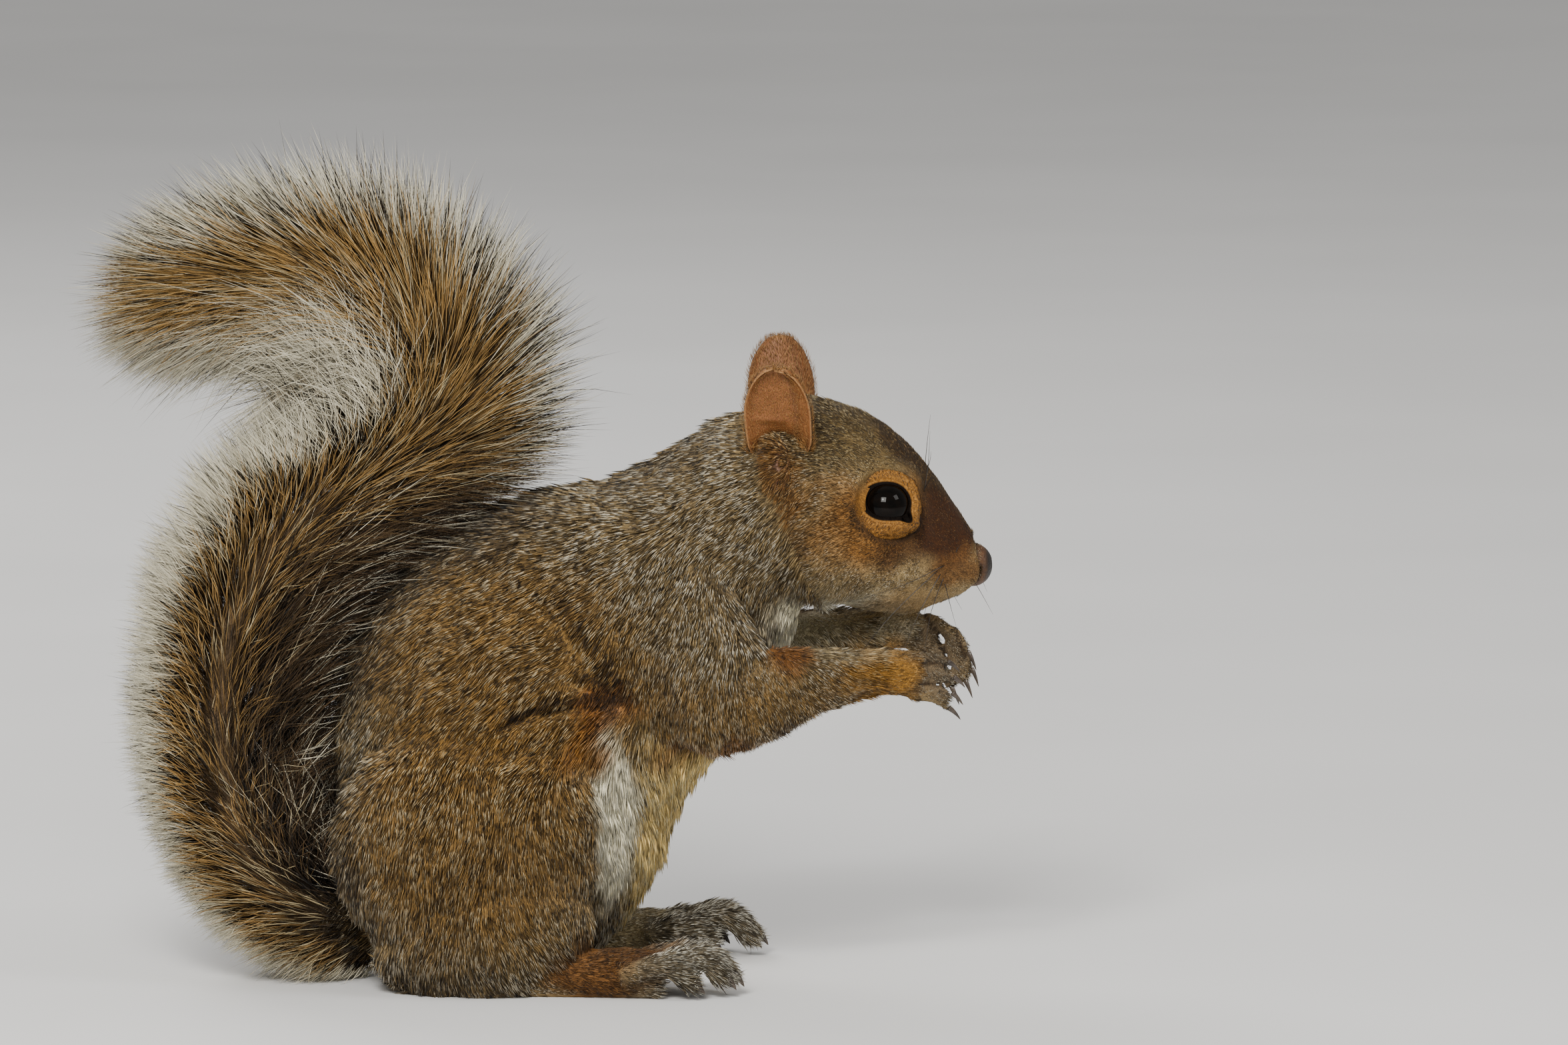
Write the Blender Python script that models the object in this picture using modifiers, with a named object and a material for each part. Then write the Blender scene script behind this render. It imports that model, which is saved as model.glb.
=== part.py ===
"""A life-size eastern grey squirrel that sits up with its hands held together below its chin.

Run with: blender --background --python part.py

The squirrel faces +X, its left side is +Y and the floor is z = 0. Every table is in millimetres.
The solids reach out to the tips of the coat. The flesh is modelled whole from lofts, fused into
one smooth form and then parted with thin cuts into the named parts of the body.
"""

import math

import bmesh
import bpy
from mathutils import Matrix, Vector

MM = 0.001
GAP = 0.3  # clearance between neighbouring solids
SIDES = 18  # corners of a body ring
FINE = 4  # rings made between two rings of a table

SIDE_OF = {"right": -1.0, "left": 1.0}

# ---------------------------------------------------------------- driving sizes

HEAD_ROLL = math.radians(4.5)  # the head leans a little to the right
EYE_RADIUS = 6.3
EYE_AT = (80.2, 12.8, 113.9)
EAR_BASE = {"right": (55.5, 15.0, 122.0), "left": (56.4, 15.0, 122.2)}
EAR_HEIGHT = 26.6
EAR_HALF_WIDTH = 7.3
EAR_THICK = 1.5
EAR_CUP = 2.6
HAND_BUILD = 1.75  # radius of a finger at its base
TOE_BUILD = 2.7  # radius of a hind toe at its base
CLAW_LENGTH = 3.6

# Back point (x, z), belly point (x, z) and half width of each ring, from the rump to the nose.
TRUNK = [
    ((-34, 2), (2, -2), 19),
    ((-42, 15), (17, 11), 29),
    ((-47.5, 30), (27, 26), 35),
    ((-50, 46), (31.5, 39), 36.5),
    ((-49, 62), (36, 46.5), 35),
    ((-44, 82), (42, 54), 33),
    ((-34, 97), (48, 61), 30.5),
    ((-18, 108.5), (53, 69), 28),
    ((0, 115), (56.5, 76), 26.5),
    ((16, 118), (59, 82.5), 25.5),
    ((30, 125.2), (61, 87), 24),
    ((42, 132.3), (63.5, 89), 23),
    ((51.5, 136.2), (68, 89), 22.5),
]
HEAD = [
    ((60, 137.4), (73, 87.5), 22),
    ((68, 136.2), (77.5, 86.6), 21),
    ((76, 133.2), (81, 86.2), 18.8),
    ((83, 128.4), (85.5, 86.6), 15.6),
    ((89, 122.3), (89.5, 87.4), 12.4),
    ((94, 115.5), (93.5, 88.6), 9.8),
    ((98.3, 108.8), (97.3, 90.2), 7.8),
    ((101.6, 103.8), (100.6, 91.6), 6.0),
    ((103.8, 100.8), (102.9, 93.0), 4.2),
    ((104.9, 98.8), (104.5, 95.4), 2.2),
]

# Inner point (towards the back), outer point and half width of each ring, base to tip.
TAIL = [
    ((-31, 9), (-38, -3), 9),
    ((-43, 19), (-57, -2), 18),
    ((-47.5, 29), (-76, 8.5), 23),
    ((-50.5, 38.5), (-89, 25), 26),
    ((-52, 48), (-96, 43), 27),
    ((-51.5, 60), (-99, 60), 27),
    ((-49.5, 72), (-98.5, 77), 26.5),
    ((-45, 84), (-96.5, 93), 25.5),
    ((-38, 95), (-92, 108.5), 24.5),
    ((-28, 104.5), (-83, 123.5), 23),
    ((-16, 111), (-72, 133.2), 22),
    ((-5, 116.5), (-67, 136.6), 21),
    ((3.5, 122.5), (-65.4, 138.8), 20),
    ((8.3, 131.5), (-64.8, 140.2), 19.5),
    ((9.8, 142.5), (-64.7, 141.2), 19.5),
    ((8.8, 154.5), (-65.0, 141.9), 19.5),
    ((3.2, 167), (-65.6, 142.4), 19),
    ((-7, 179), (-66.4, 142.7), 18.5),
    ((-20.5, 189), (-67.6, 142.8), 18),
    ((-36, 194.6), (-69.8, 142.6), 17.5),
    ((-52, 196.2), (-73.6, 142.2), 17),
    ((-67, 194.6), (-79, 141.8), 15.5),
    ((-80, 190), (-85.5, 142.2), 13.5),
    ((-90.5, 183.5), (-92, 143.8), 11.5),
    ((-98.5, 176), (-98.2, 147), 9),
    ((-103.5, 168.6), (-102.8, 151.4), 6),
    ((-105.8, 163), (-105.4, 156.8), 2.5),
]
TAIL_LENGTHS = [  # node and the rings between which it runs
    ("tail_base", 0, 5),
    ("tail_middle", 5, 10),
    ("tail_upper", 10, 17),
    ("tail_tip", 17, 26),
]

# Centre (x, distance from the middle plane, z) and radii (in the plane, across) along each limb.
ARM = {
    "right": [
        ((24, 15, 101), (15, 8)),
        ((31, 17.5, 89), (16.5, 10.5)),
        ((36.5, 20.5, 78), (16, 11.5)),
        ((42, 22.5, 70), (14, 11)),
        ((51, 21.5, 70.3), (11.6, 9)),
        ((60, 19.8, 72.2), (8.8, 7.6)),
        ((70, 16.8, 73.4), (6.6, 6)),
        ((78, 14.2, 74), (5.6, 5)),
        ((85, 12, 73.4), (5.5, 4.4)),
        ((89, 11, 72.8), (5.2, 3.8)),
    ],
    "left": [
        ((24, 15, 101), (15, 8)),
        ((31, 17.5, 89), (16.5, 10.5)),
        ((37, 20.5, 79), (16, 11.5)),
        ((43, 22, 71.5), (14, 11)),
        ((52, 20.5, 73.5), (11.2, 9)),
        ((61, 18.5, 76.5), (8.6, 7.6)),
        ((71, 15.8, 79.2), (6.4, 6)),
        ((79, 13.2, 80.8), (5.6, 5)),
        ((84.5, 11.4, 81.4), (5.4, 4.4)),
        ((88.5, 10, 81), (5.0, 3.8)),
    ],
}
ELBOW = {"right": ((39.5, 23.5, 67.2), 10.4), "left": ((40, 23.5, 68.5), 10.4)}
FINGERS = {  # root, knuckle and tip of each finger, top to bottom
    "right": [
        ((85, 10.2, 76.0), (90, 9.2, 76.7), (94.2, 6.8, 75.0)),
        ((86, 11.2, 73.4), (91.5, 10.4, 73.4), (95.6, 7.8, 71.5)),
        ((86.5, 11.2, 70.6), (91.5, 10.6, 70.1), (95.2, 8.4, 67.9)),
        ((85.5, 10.6, 68.2), (90.2, 10, 66.7), (94.4, 8.2, 64.4)),
    ],
    "left": [
        ((87, 9.6, 84), (95, 7.8, 82.4), (99.4, 4.8, 76)),
        ((88, 10.4, 81.6), (96, 8.6, 79.4), (100.2, 5.4, 72.2)),
        ((88, 10.4, 78.2), (94.6, 8.8, 75.4), (98.6, 6.0, 69.3)),
        ((86.5, 9.8, 76), (92.2, 8.6, 72.2), (95.4, 6.4, 67.6)),
    ],
}

# Centre (x, distance from the middle plane, z) and half sizes (x, y, z) of each mass of the haunch.
HAUNCH = [
    ((-17, 25, 35), (32.5, 17, 30)),
    ((-3, 27, 42), (18.5, 14.5, 20)),
    ((-12, 27, 19), (25, 15, 20)),
    ((-20, 24, 12), (20, 14, 13.5)),
]
RUMP = ((-17, 0, 16), (25, 24, 18))
CHEEK = ((66, 12, 103), (13, 11.5, 13))
WHISKER_PAD = ((95.2, 4.6, 96.0), (5.6, 4.4, 4.6))
CHIN = ((84, 0, 91.5), (8.5, 7.5, 6))
BROW = ((78.5, 9, 119), (10.5, 6.8, 6.6))
NOSE = ((103.2, 0, 97.6), (2.6, 3.1, 2.9))

# Where the fused body is parted: planes by a point and a direction, the haunch by an ellipsoid.
NAPE, THROAT, SHOULDER = (49, 0, 135), (67, 0, 86), (29, 0, 126)
ELBOW_CUT = (4.0, (1.0, 0, -0.35))  # distance ahead of the elbow's centre, and direction
KNEE_CUT = ((14, 0, 58), (0.8, 0, -0.62))
HAUNCH_CUT = ((-16.5, 34, 33), (34.5, 21, 33.5))
ARM_CUT_MARGIN = (1.5, 3.0)  # beyond the arm's radii, in its plane and across
HAND_REACH = ((18, 0, -5), 14.0)  # from the wrist past the finger tips, and radius

# Distance from the heel's back end, height of the instep and half width of the hind foot.
FOOT = [
    (0, 6.5, 4.2),
    (5, 9.5, 5.4),
    (14, 11, 5.8),
    (26, 11.4, 6.2),
    (38, 11.2, 7.0),
    (46, 9.6, 7.8),
]
FOOT_AT = {"right": (-18.5, 27.5), "left": (-13.0, 30.0)}  # heel's x, distance from the middle
FOOT_SPLAY = math.radians(4.0)
TOES = [  # root, knuckle and tip from the heel, and place across, counted from the inner edge
    ((36, 5.4), (45, 8.2), (51.0, 4.2), -7.2),
    ((42, 6.4), (54, 9.6), (60.5, 5.0), -3.8),
    ((43, 6.6), (55.5, 10.0), (62.3, 5.2), 0.0),
    ((42, 6.4), (54, 9.7), (60.7, 5.0), 3.8),
    ((37, 5.4), (47, 8.2), (53.5, 4.2), 7.4),
]

COLOURS = {  # colour, roughness
    "grey_coat": ((0.30, 0.24, 0.16), 0.8),
    "tail_coat": ((0.40, 0.33, 0.22), 0.8),
    "ear_skin": ((0.36, 0.19, 0.11), 0.6),
    "paw_coat": ((0.42, 0.36, 0.28), 0.7),
    "eye": ((0.010, 0.008, 0.007), 0.06),
    "nose_skin": ((0.12, 0.06, 0.04), 0.5),
    "claw_horn": ((0.16, 0.12, 0.09), 0.35),
}
MATERIAL_OF = {  # by the first word of a node's name; the rest wear the grey coat
    "tail": "tail_coat",
    "ear": "ear_skin",
    "eye": "eye",
    "nose": "nose_skin",
    "claw": "claw_horn",
    "hand": "paw_coat",
    "hind": "paw_coat",
}


# ---------------------------------------------------------------- small tools


def clear_scene():
    for item in list(bpy.data.objects):
        bpy.data.objects.remove(item, do_unlink=True)


def new_collection(name, shown):
    made = bpy.data.collections.new(name)
    made.hide_render = not shown
    bpy.context.scene.collection.children.link(made)
    return made


def make_materials():
    made = {}
    for name, (colour, roughness) in COLOURS.items():
        material = bpy.data.materials.new(name)
        material.use_nodes = True
        shader = material.node_tree.nodes["Principled BSDF"]
        shader.inputs["Base Color"].default_value = (*colour, 1.0)
        shader.inputs["Roughness"].default_value = roughness
        shader.inputs["Metallic"].default_value = 0.0
        material.diffuse_color = (*colour, 1.0)
        made[name] = material
    return made


def add_object(name, mesh, group):
    made = bpy.data.objects.new(name, mesh)
    group.objects.link(made)
    return made


def evaluated_mesh(item):
    bpy.context.view_layer.update()
    graph = bpy.context.evaluated_depsgraph_get()
    return bpy.data.meshes.new_from_object(item.evaluated_get(graph))


def apply_modifiers(item):
    mesh = evaluated_mesh(item)
    item.modifiers.clear()
    item.data = mesh
    return item


def curve_through(rows, steps):
    """Rows of numbers made denser by a Catmull-Rom spline through them."""
    out = []
    last = len(rows) - 1
    for i in range(last):
        p0, p1, p2, p3 = (rows[min(max(i + k, 0), last)] for k in (-1, 0, 1, 2))
        for s in range(steps):
            t = s / steps
            out.append(
                [
                    b + 0.5 * t * ((c - a) + t * ((2 * a - 5 * b + 4 * c - d) + t * (3 * b - a - 3 * c + d)))
                    for a, b, c, d in zip(p0, p1, p2, p3)
                ]
            )
    out.append(list(rows[last]))
    return out


def ring_mesh(name, rings, sides=SIDES):
    """A closed loft. Each ring is its centre and its two half axes, and the ends are flat."""
    shape = bmesh.new()
    loops = []
    for centre, up, side in rings:
        loop = []
        for k in range(sides):
            turn = 2 * math.pi * k / sides
            point = centre + up * math.cos(turn) + side * math.sin(turn)
            loop.append(shape.verts.new(point * MM))
        loops.append(loop)
    for first, second in zip(loops, loops[1:]):
        for k in range(sides):
            after = (k + 1) % sides
            shape.faces.new((first[k], first[after], second[after], second[k]))
    shape.faces.new(loops[0])
    shape.faces.new(list(reversed(loops[-1])))
    bmesh.ops.recalc_face_normals(shape, faces=shape.faces)
    mesh = bpy.data.meshes.new(name)
    shape.to_mesh(mesh)
    shape.free()
    return mesh


def profile_rings(table, steps=FINE, roll=0.0):
    """Rings that span from a back point to a belly point in the middle plane."""
    across = Vector((0, math.cos(roll), math.sin(roll)))
    rows = [(*back, *belly, width) for back, belly, width in table]
    rings = []
    for bx, bz, fx, fz, width in curve_through(rows, steps):
        back, belly = Vector((bx, 0, bz)), Vector((fx, 0, fz))
        rings.append(((back + belly) / 2, (back - belly) / 2, across * width))
    return rings


def limb_rings(path, radii, steps=FINE):
    """Rings square to a path, with a radius in the path's own plane and one across it."""
    rows = curve_through([(*p, *r) for p, r in zip(path, radii)], steps)
    points = [Vector(row[:3]) for row in rows]
    rings = []
    for i, row in enumerate(rows):
        along = points[min(i + 1, len(points) - 1)] - points[max(i - 1, 0)]
        across = along.cross(Vector((0, 0, 1)))
        if across.length < 0.2 * along.length:
            across = Vector((0, 1, 0)) - along * (along.y / along.length_squared)
        across.normalize()
        up = across.cross(along).normalized()
        rings.append((points[i], up * row[3], across * row[4]))
    return rings


def ellipsoid(name, centre, half_sizes, group, segments=24):
    shape = bmesh.new()
    place = Matrix.Translation(Vector(centre) * MM) @ Matrix.Diagonal((*(Vector(half_sizes) * MM), 1))
    bmesh.ops.create_uvsphere(shape, u_segments=segments, v_segments=segments // 2, radius=1, matrix=place)
    mesh = bpy.data.meshes.new(name)
    shape.to_mesh(mesh)
    shape.free()
    return add_object(name, mesh, group)


def block(name, low, high, group, turn=None):
    """A box from its lowest to its highest corner, turned about its centre if asked."""
    low, high = Vector(low), Vector(high)
    shape = bmesh.new()
    place = Matrix.Translation((low + high) / 2 * MM)
    if turn is not None:
        place = place @ turn
    place = place @ Matrix.Diagonal((*((high - low) * MM), 1))
    bmesh.ops.create_cube(shape, size=1, matrix=place)
    mesh = bpy.data.meshes.new(name)
    shape.to_mesh(mesh)
    shape.free()
    return add_object(name, mesh, group)


def join(name, items, group):
    """One object that holds the shapes of all these, each still a body of its own."""
    shape = bmesh.new()
    for item in items:
        shape.from_mesh(item.data)
        bpy.data.objects.remove(item)
    mesh = bpy.data.meshes.new(name)
    shape.to_mesh(mesh)
    shape.free()
    return add_object(name, mesh, group)


def fuse(item, voxel, smooth, triangles):
    """Melts overlapping shapes into one smooth skin of about that many triangles."""
    remesh = item.modifiers.new("Fuse", "REMESH")
    remesh.mode = "VOXEL"
    remesh.voxel_size = voxel * MM
    soften = item.modifiers.new("Soften", "SMOOTH")
    soften.factor = 0.5
    soften.iterations = smooth
    apply_modifiers(item)
    item.data.calc_loop_triangles()
    reduce = item.modifiers.new("Reduce", "DECIMATE")
    reduce.ratio = min(1.0, triangles / len(item.data.loop_triangles))
    return apply_modifiers(item)


def boolean(item, tool, operation):
    modifier = item.modifiers.new(operation, "BOOLEAN")
    modifier.operation = operation
    modifier.object = tool
    modifier.solver = "EXACT"
    return apply_modifiers(item)


def grown(item, by, group):
    """A copy whose surface lies that far outside."""
    copy = add_object(item.name + "_grown", item.data.copy(), group)
    swell = copy.modifiers.new("Grow", "DISPLACE")
    swell.mid_level = 0
    swell.strength = by * MM
    return apply_modifiers(copy)


def cut_clear(item, neighbour, group):
    """Takes the neighbour's space and the gap round it out of item."""
    tool = grown(neighbour, GAP, group)
    boolean(item, tool, "DIFFERENCE")
    bpy.data.objects.remove(tool)
    return item


def part_off(body, cutter, name, group, tools):
    """Moves what lies inside the cutter out of body and into a new object."""
    part = add_object(name, body.data.copy(), group)
    boolean(part, cutter, "INTERSECT")
    tool = grown(cutter, GAP, tools)
    boolean(body, tool, "DIFFERENCE")
    bpy.data.objects.remove(tool)
    bpy.data.objects.remove(cutter)
    return part


def keep_largest(item):
    """Drops crumbs that a cut left beside the body."""
    shape = bmesh.new()
    shape.from_mesh(item.data)
    bmesh.ops.remove_doubles(shape, verts=shape.verts, dist=0.002 * MM)
    left = set(shape.verts)
    islands = []
    while left:
        island, front = set(), [left.pop()]
        while front:
            vert = front.pop()
            island.add(vert)
            for edge in vert.link_edges:
                other = edge.other_vert(vert)
                if other in left:
                    left.remove(other)
                    front.append(other)
        islands.append(island)
    islands.sort(key=len, reverse=True)
    crumbs = [vert for island in islands[1:] for vert in island]
    bmesh.ops.delete(shape, geom=crumbs, context="VERTS")
    shape.to_mesh(item.data)
    shape.free()
    return item


def mirrored(point, side):
    """A point given by its distance from the middle plane, on that side of the body."""
    return (point[0], SIDE_OF[side] * point[1], point[2])


def rolled(point):
    """A point of the head after the head's lean about its long axis."""
    axis_height = 111.0
    y, z = point[1], point[2] - axis_height
    return (
        point[0],
        y * math.cos(HEAD_ROLL) - z * math.sin(HEAD_ROLL),
        y * math.sin(HEAD_ROLL) + z * math.cos(HEAD_ROLL) + axis_height,
    )


# ---------------------------------------------------------------- the body


def trunk_and_head(tools):
    rings = profile_rings(TRUNK) + profile_rings(HEAD, roll=HEAD_ROLL)
    made = [add_object("core", ring_mesh("core", rings), tools)]
    made.append(ellipsoid("rump", *RUMP, tools))
    made.append(ellipsoid("chin", *CHIN, tools))
    for side in SIDE_OF:
        for name, (centre, sizes) in (("cheek", CHEEK), ("pad", WHISKER_PAD), ("brow", BROW)):
            made.append(ellipsoid(name, rolled(mirrored(centre, side)), sizes, tools))
    return made


def arm(side, tools):
    path = [mirrored(point, side) for point, _ in ARM[side]]
    radii = [sizes for _, sizes in ARM[side]]
    made = [add_object("arm", ring_mesh("arm", limb_rings(path, radii)), tools)]
    centre, radius = ELBOW[side]
    made.append(ellipsoid("elbow", mirrored(centre, side), (radius,) * 3, tools))
    return made


def digit(points, radius, tools):
    """A finger or toe with a round end."""
    path = [Vector(p) for p in points]
    end = path[-1] + (path[-1] - path[-2]).normalized() * radius * 0.9
    radii = [(radius, radius), (radius * 0.98, radius * 0.98), (radius * 0.8, radius * 0.8), (0.3, 0.3)]
    rings = limb_rings([*path, end], radii)
    return add_object("digit", ring_mesh("digit", rings, sides=12), tools)


def fingers(side, tools):
    return [digit([mirrored(p, side) for p in points], HAND_BUILD, tools) for points in FINGERS[side]]


def haunch(side, tools):
    return [ellipsoid("haunch", mirrored(centre, side), sizes, tools) for centre, sizes in HAUNCH]


def arm_cutter(side, tools):
    """The space of the whole foreleg, from inside the shoulder to past the finger tips."""
    inward, outward = ARM_CUT_MARGIN
    path = [mirrored((p[0], p[1] + outward, p[2]), side) for p, _ in ARM[side]]
    radii = [(sizes[0] + inward, sizes[1] + outward) for _, sizes in ARM[side]]
    reach, radius = HAND_REACH
    path.append(tuple(Vector(path[-1]) + Vector(reach)))
    radii[-1] = (radius, radius)
    radii.append((radius, radius))
    rings = limb_rings(path, radii, steps=3)
    item = add_object("arm_cutter", ring_mesh("arm_cutter", rings, sides=16), tools)
    return fuse(item, voxel=1.5, smooth=4, triangles=170)


def haunch_cutter(side, tools):
    centre, sizes = HAUNCH_CUT
    return ellipsoid("haunch_cutter", mirrored(centre, side), sizes, tools, segments=14)


def cutting_block(name, centre, direction, tools):
    """A large block that holds everything beyond a plane square to direction."""
    reach = 120.0
    forward = Vector(direction).normalized()
    turn = forward.to_track_quat("X", "Z").to_matrix().to_4x4()
    middle = Vector(centre) + forward * reach / 2
    half = Vector((reach / 2,) * 3)
    return block(name, middle - half, middle + half, tools, turn)


def part_flesh(whole, group, tools):
    """Parts the fused body into head, neck, arms, haunches and trunk."""
    for side in SIDE_OF:
        arm_part = part_off(whole, arm_cutter(side, tools), "upper_arm_" + side, group, tools)
        wrist = mirrored(ARM[side][7][0], side)
        heading = Vector(mirrored(ARM[side][8][0], side)) - Vector(mirrored(ARM[side][6][0], side))
        part_off(arm_part, cutting_block("wrist", wrist, heading, tools), "hand_" + side, group, tools)
        elbow = mirrored(ELBOW[side][0], side)
        ahead, direction = ELBOW_CUT
        elbow = cutting_block("elbow", (elbow[0] + ahead, elbow[1], elbow[2]), direction, tools)
        part_off(arm_part, elbow, "forearm_" + side, group, tools)
        thigh = part_off(whole, haunch_cutter(side, tools), "thigh_" + side, group, tools)
        part_off(thigh, cutting_block("knee", *KNEE_CUT, tools), "shank_" + side, group, tools)
    along = (Vector(NAPE) - Vector(THROAT)).normalized()
    forward = Vector((along.z, 0, -along.x))
    part_off(whole, cutting_block("nape", NAPE, forward, tools), "head", group, tools)
    part_off(whole, cutting_block("shoulder", SHOULDER, forward, tools), "neck", group, tools)


# ---------------------------------------------------------------- the tail


def tail_length(name, first, last, group):
    """One length of the tail between two of its rings, short of the next by the gap."""
    dense = profile_rings(TAIL)
    rings = dense[first * FINE : last * FINE + 1]
    if last * FINE < len(dense) - 1:
        end, before = rings[-1], rings[-2]
        share = GAP / max((end[0] - before[0]).length, 1e-6)
        rings[-1] = tuple(a.lerp(b, share) for a, b in zip(end, before))
    return add_object(name, ring_mesh(name, rings[::2], sides=12), group)


# ---------------------------------------------------------------- ears, eyes, nose, claws


def ear_outline(v):
    """Half width of the ear at a height from 0, its root, to 1, its tip."""
    tip = (1 - max(0.0, (v - 0.55) / 0.45) ** 2.4) ** 0.5
    return EAR_HALF_WIDTH * tip * (0.86 + 0.22 * math.sin(v * 2.6))


def ear(side, group):
    """A cupped leaf that opens outwards, with a rounded tip and a rolled rim."""
    rows, columns = 9, 6
    shape = bmesh.new()
    lean_out, lean_back = math.radians(14), math.radians(4)
    base = Vector(mirrored(EAR_BASE[side], side))
    up = Vector((-math.sin(lean_back), SIDE_OF[side] * math.sin(lean_out), math.cos(lean_out)))
    out = Vector((0.12, SIDE_OF[side], 0)).normalized()
    out = (out - up * out.dot(up)).normalized()
    ahead = Vector((1, 0, 0)) - up * up.x
    grid = {}
    for layer, push in (("inner", 0.0), ("outer", -EAR_THICK)):
        for i in range(rows + 1):
            v = i / rows * 0.985
            width = ear_outline(v)
            for j in range(columns + 1):
                u = 2 * j / columns - 1
                cup = -EAR_CUP * (1 - u * u) * (1 - v * 0.55)
                edge = 1 - 0.45 * max(abs(u), v) ** 6
                point = base + up * (v * (EAR_HEIGHT + 6) - 6) + ahead * (u * width)
                point += out * (cup + push * edge)
                grid[layer, i, j] = shape.verts.new(Vector(rolled(point)) * MM)
    for i in range(rows):
        for j in range(columns):
            for layer in ("inner", "outer"):
                square = ((i, j), (i, j + 1), (i + 1, j + 1), (i + 1, j))
                corners = [grid[layer, row, column] for row, column in square]
                shape.faces.new(corners if layer == "inner" else corners[::-1])
    border = [(0, j) for j in range(columns)] + [(i, columns) for i in range(rows)]
    border += [(rows, j) for j in range(columns, 0, -1)] + [(i, 0) for i in range(rows, 0, -1)]
    for (i, j), (k, m) in zip(border, border[1:] + border[:1]):
        shape.faces.new((grid["inner", k, m], grid["inner", i, j], grid["outer", i, j], grid["outer", k, m]))
    bmesh.ops.recalc_face_normals(shape, faces=shape.faces)
    mesh = bpy.data.meshes.new("ear_" + side)
    shape.to_mesh(mesh)
    shape.free()
    return add_object("ear_" + side, mesh, group)


def eye(side, group):
    return ellipsoid("eye_" + side, rolled(mirrored(EYE_AT, side)), (EYE_RADIUS,) * 3, group, segments=14)


def nose(group):
    centre, sizes = NOSE
    return ellipsoid("nose", rolled(centre), sizes, group, segments=12)


def claw(name, knuckle, tip, radius, group):
    """A curved, tapered claw that starts inside the end of a digit."""
    knuckle, tip = Vector(knuckle), Vector(tip)
    along = (tip - knuckle).normalized()
    start = tip + along * radius * 0.3 + Vector((0, 0, radius * 0.35))
    length = CLAW_LENGTH
    droop = Vector((0, 0, -1))
    path = [start + along * length * t + droop * length * 0.42 * t * t for t in (0, 0.4, 0.75, 1.0)]
    thick = radius * 0.52
    radii = [(thick, thick * 0.75), (thick * 0.8, thick * 0.6), (thick * 0.5, thick * 0.4), (0.18, 0.16)]
    rings = limb_rings(path, radii, steps=1)
    return add_object(name, ring_mesh(name, rings, sides=6), group)


# ---------------------------------------------------------------- hind feet


def foot_point(side, along, across, height):
    """A place on the foot from its heel, its middle line and the floor."""
    heel_x, from_middle = FOOT_AT[side]
    x = heel_x + along * math.cos(FOOT_SPLAY) - across * math.sin(FOOT_SPLAY)
    y = from_middle + along * math.sin(FOOT_SPLAY) * 0.6 + across * math.cos(FOOT_SPLAY)
    return (x, SIDE_OF[side] * y, height)


def hind_foot(side, group, tools):
    rows = []
    for along, height, half_width in FOOT:
        rows.append((foot_point(side, along, 0, height / 2 - 0.6), (height / 2 + 0.6, half_width)))
    rings = limb_rings([p for p, _ in rows], [r for _, r in rows])
    pieces = [add_object("sole", ring_mesh("sole", rings), tools)]
    for root, knuckle, tip, across in TOES:
        points = [foot_point(side, a, across, h) for a, h in (root, knuckle, tip)]
        pieces.append(digit(points, TOE_BUILD, tools))
    foot = join("hind_foot_" + side, pieces, group)
    return fuse(foot, voxel=0.7, smooth=3, triangles=400)


# ---------------------------------------------------------------- assembly


def build():
    clear_scene()
    group = new_collection("grey_squirrel", shown=True)
    tools = new_collection("cutters", shown=False)
    materials = make_materials()

    flesh = trunk_and_head(tools)
    for side in SIDE_OF:
        flesh += arm(side, tools) + fingers(side, tools) + haunch(side, tools)
    whole = fuse(join("trunk", flesh, group), voxel=0.8, smooth=6, triangles=2600)

    eyes = {side: eye(side, group) for side in SIDE_OF}
    pad = nose(group)
    feet = {side: hind_foot(side, group, tools) for side in SIDE_OF}
    for side in SIDE_OF:
        cut_clear(whole, eyes[side], tools)
        cut_clear(whole, feet[side], tools)
    cut_clear(whole, pad, tools)
    for side in SIDE_OF:
        for number, (_, knuckle, tip) in enumerate(FINGERS[side], 1):
            ends = [mirrored(p, side) for p in (knuckle, tip)]
            cut_clear(whole, claw(f"claw_hand_{side}_{number}", *ends, HAND_BUILD, group), tools)
        for number, (_, knuckle, tip, across) in enumerate(TOES, 1):
            ends = [foot_point(side, a, across, h) for a, h in (knuckle, tip)]
            cut_clear(feet[side], claw(f"claw_foot_{side}_{number}", *ends, TOE_BUILD, group), tools)

    tails = [tail_length(name, first, last, group) for name, first, last in TAIL_LENGTHS]
    for piece in tails:
        cut_clear(piece, whole, tools)
    for side in SIDE_OF:
        item = ear(side, group)
        cut_clear(item, whole, tools)

    part_flesh(whole, group, tools)

    floor = block("floor", (-200, -100, -60), (200, 100, 0), tools)
    for item in list(group.objects):
        if min(v.co.z for v in item.data.vertices) < 0:
            boolean(item, floor, "DIFFERENCE")
        keep_largest(item)
    bpy.data.objects.remove(floor)

    for item in group.objects:
        slot = MATERIAL_OF.get(item.name.split("_")[0], "grey_coat")
        item.data.materials.clear()
        item.data.materials.append(materials[slot])
        item.data.shade_smooth()
    centre_on_origin(group)


def centre_on_origin(group):
    """Shifts the whole squirrel so that its box stands centred over the origin."""
    points = [item.matrix_world @ v.co for item in group.objects for v in item.data.vertices]
    low = Vector(min(p[k] for p in points) for k in range(3))
    high = Vector(max(p[k] for p in points) for k in range(3))
    shift = Vector((-(low.x + high.x) / 2, -(low.y + high.y) / 2, -low.z))
    for item in group.objects:
        item.data.transform(Matrix.Translation(shift))


build()
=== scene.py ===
"""The looks of a life-size grey squirrel that sits up with its hands held together.

One skin takes the place of the solids of flesh and lies inside them by the depth of the coat. Over it
lie solid tufts of hair that reach back out to the solids. Eyes, lids, ears, nose, claws and whiskers
are pieces of their own. Lengths are in millimetres until a mesh is made, and the squirrel faces +X.
"""

import math

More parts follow.
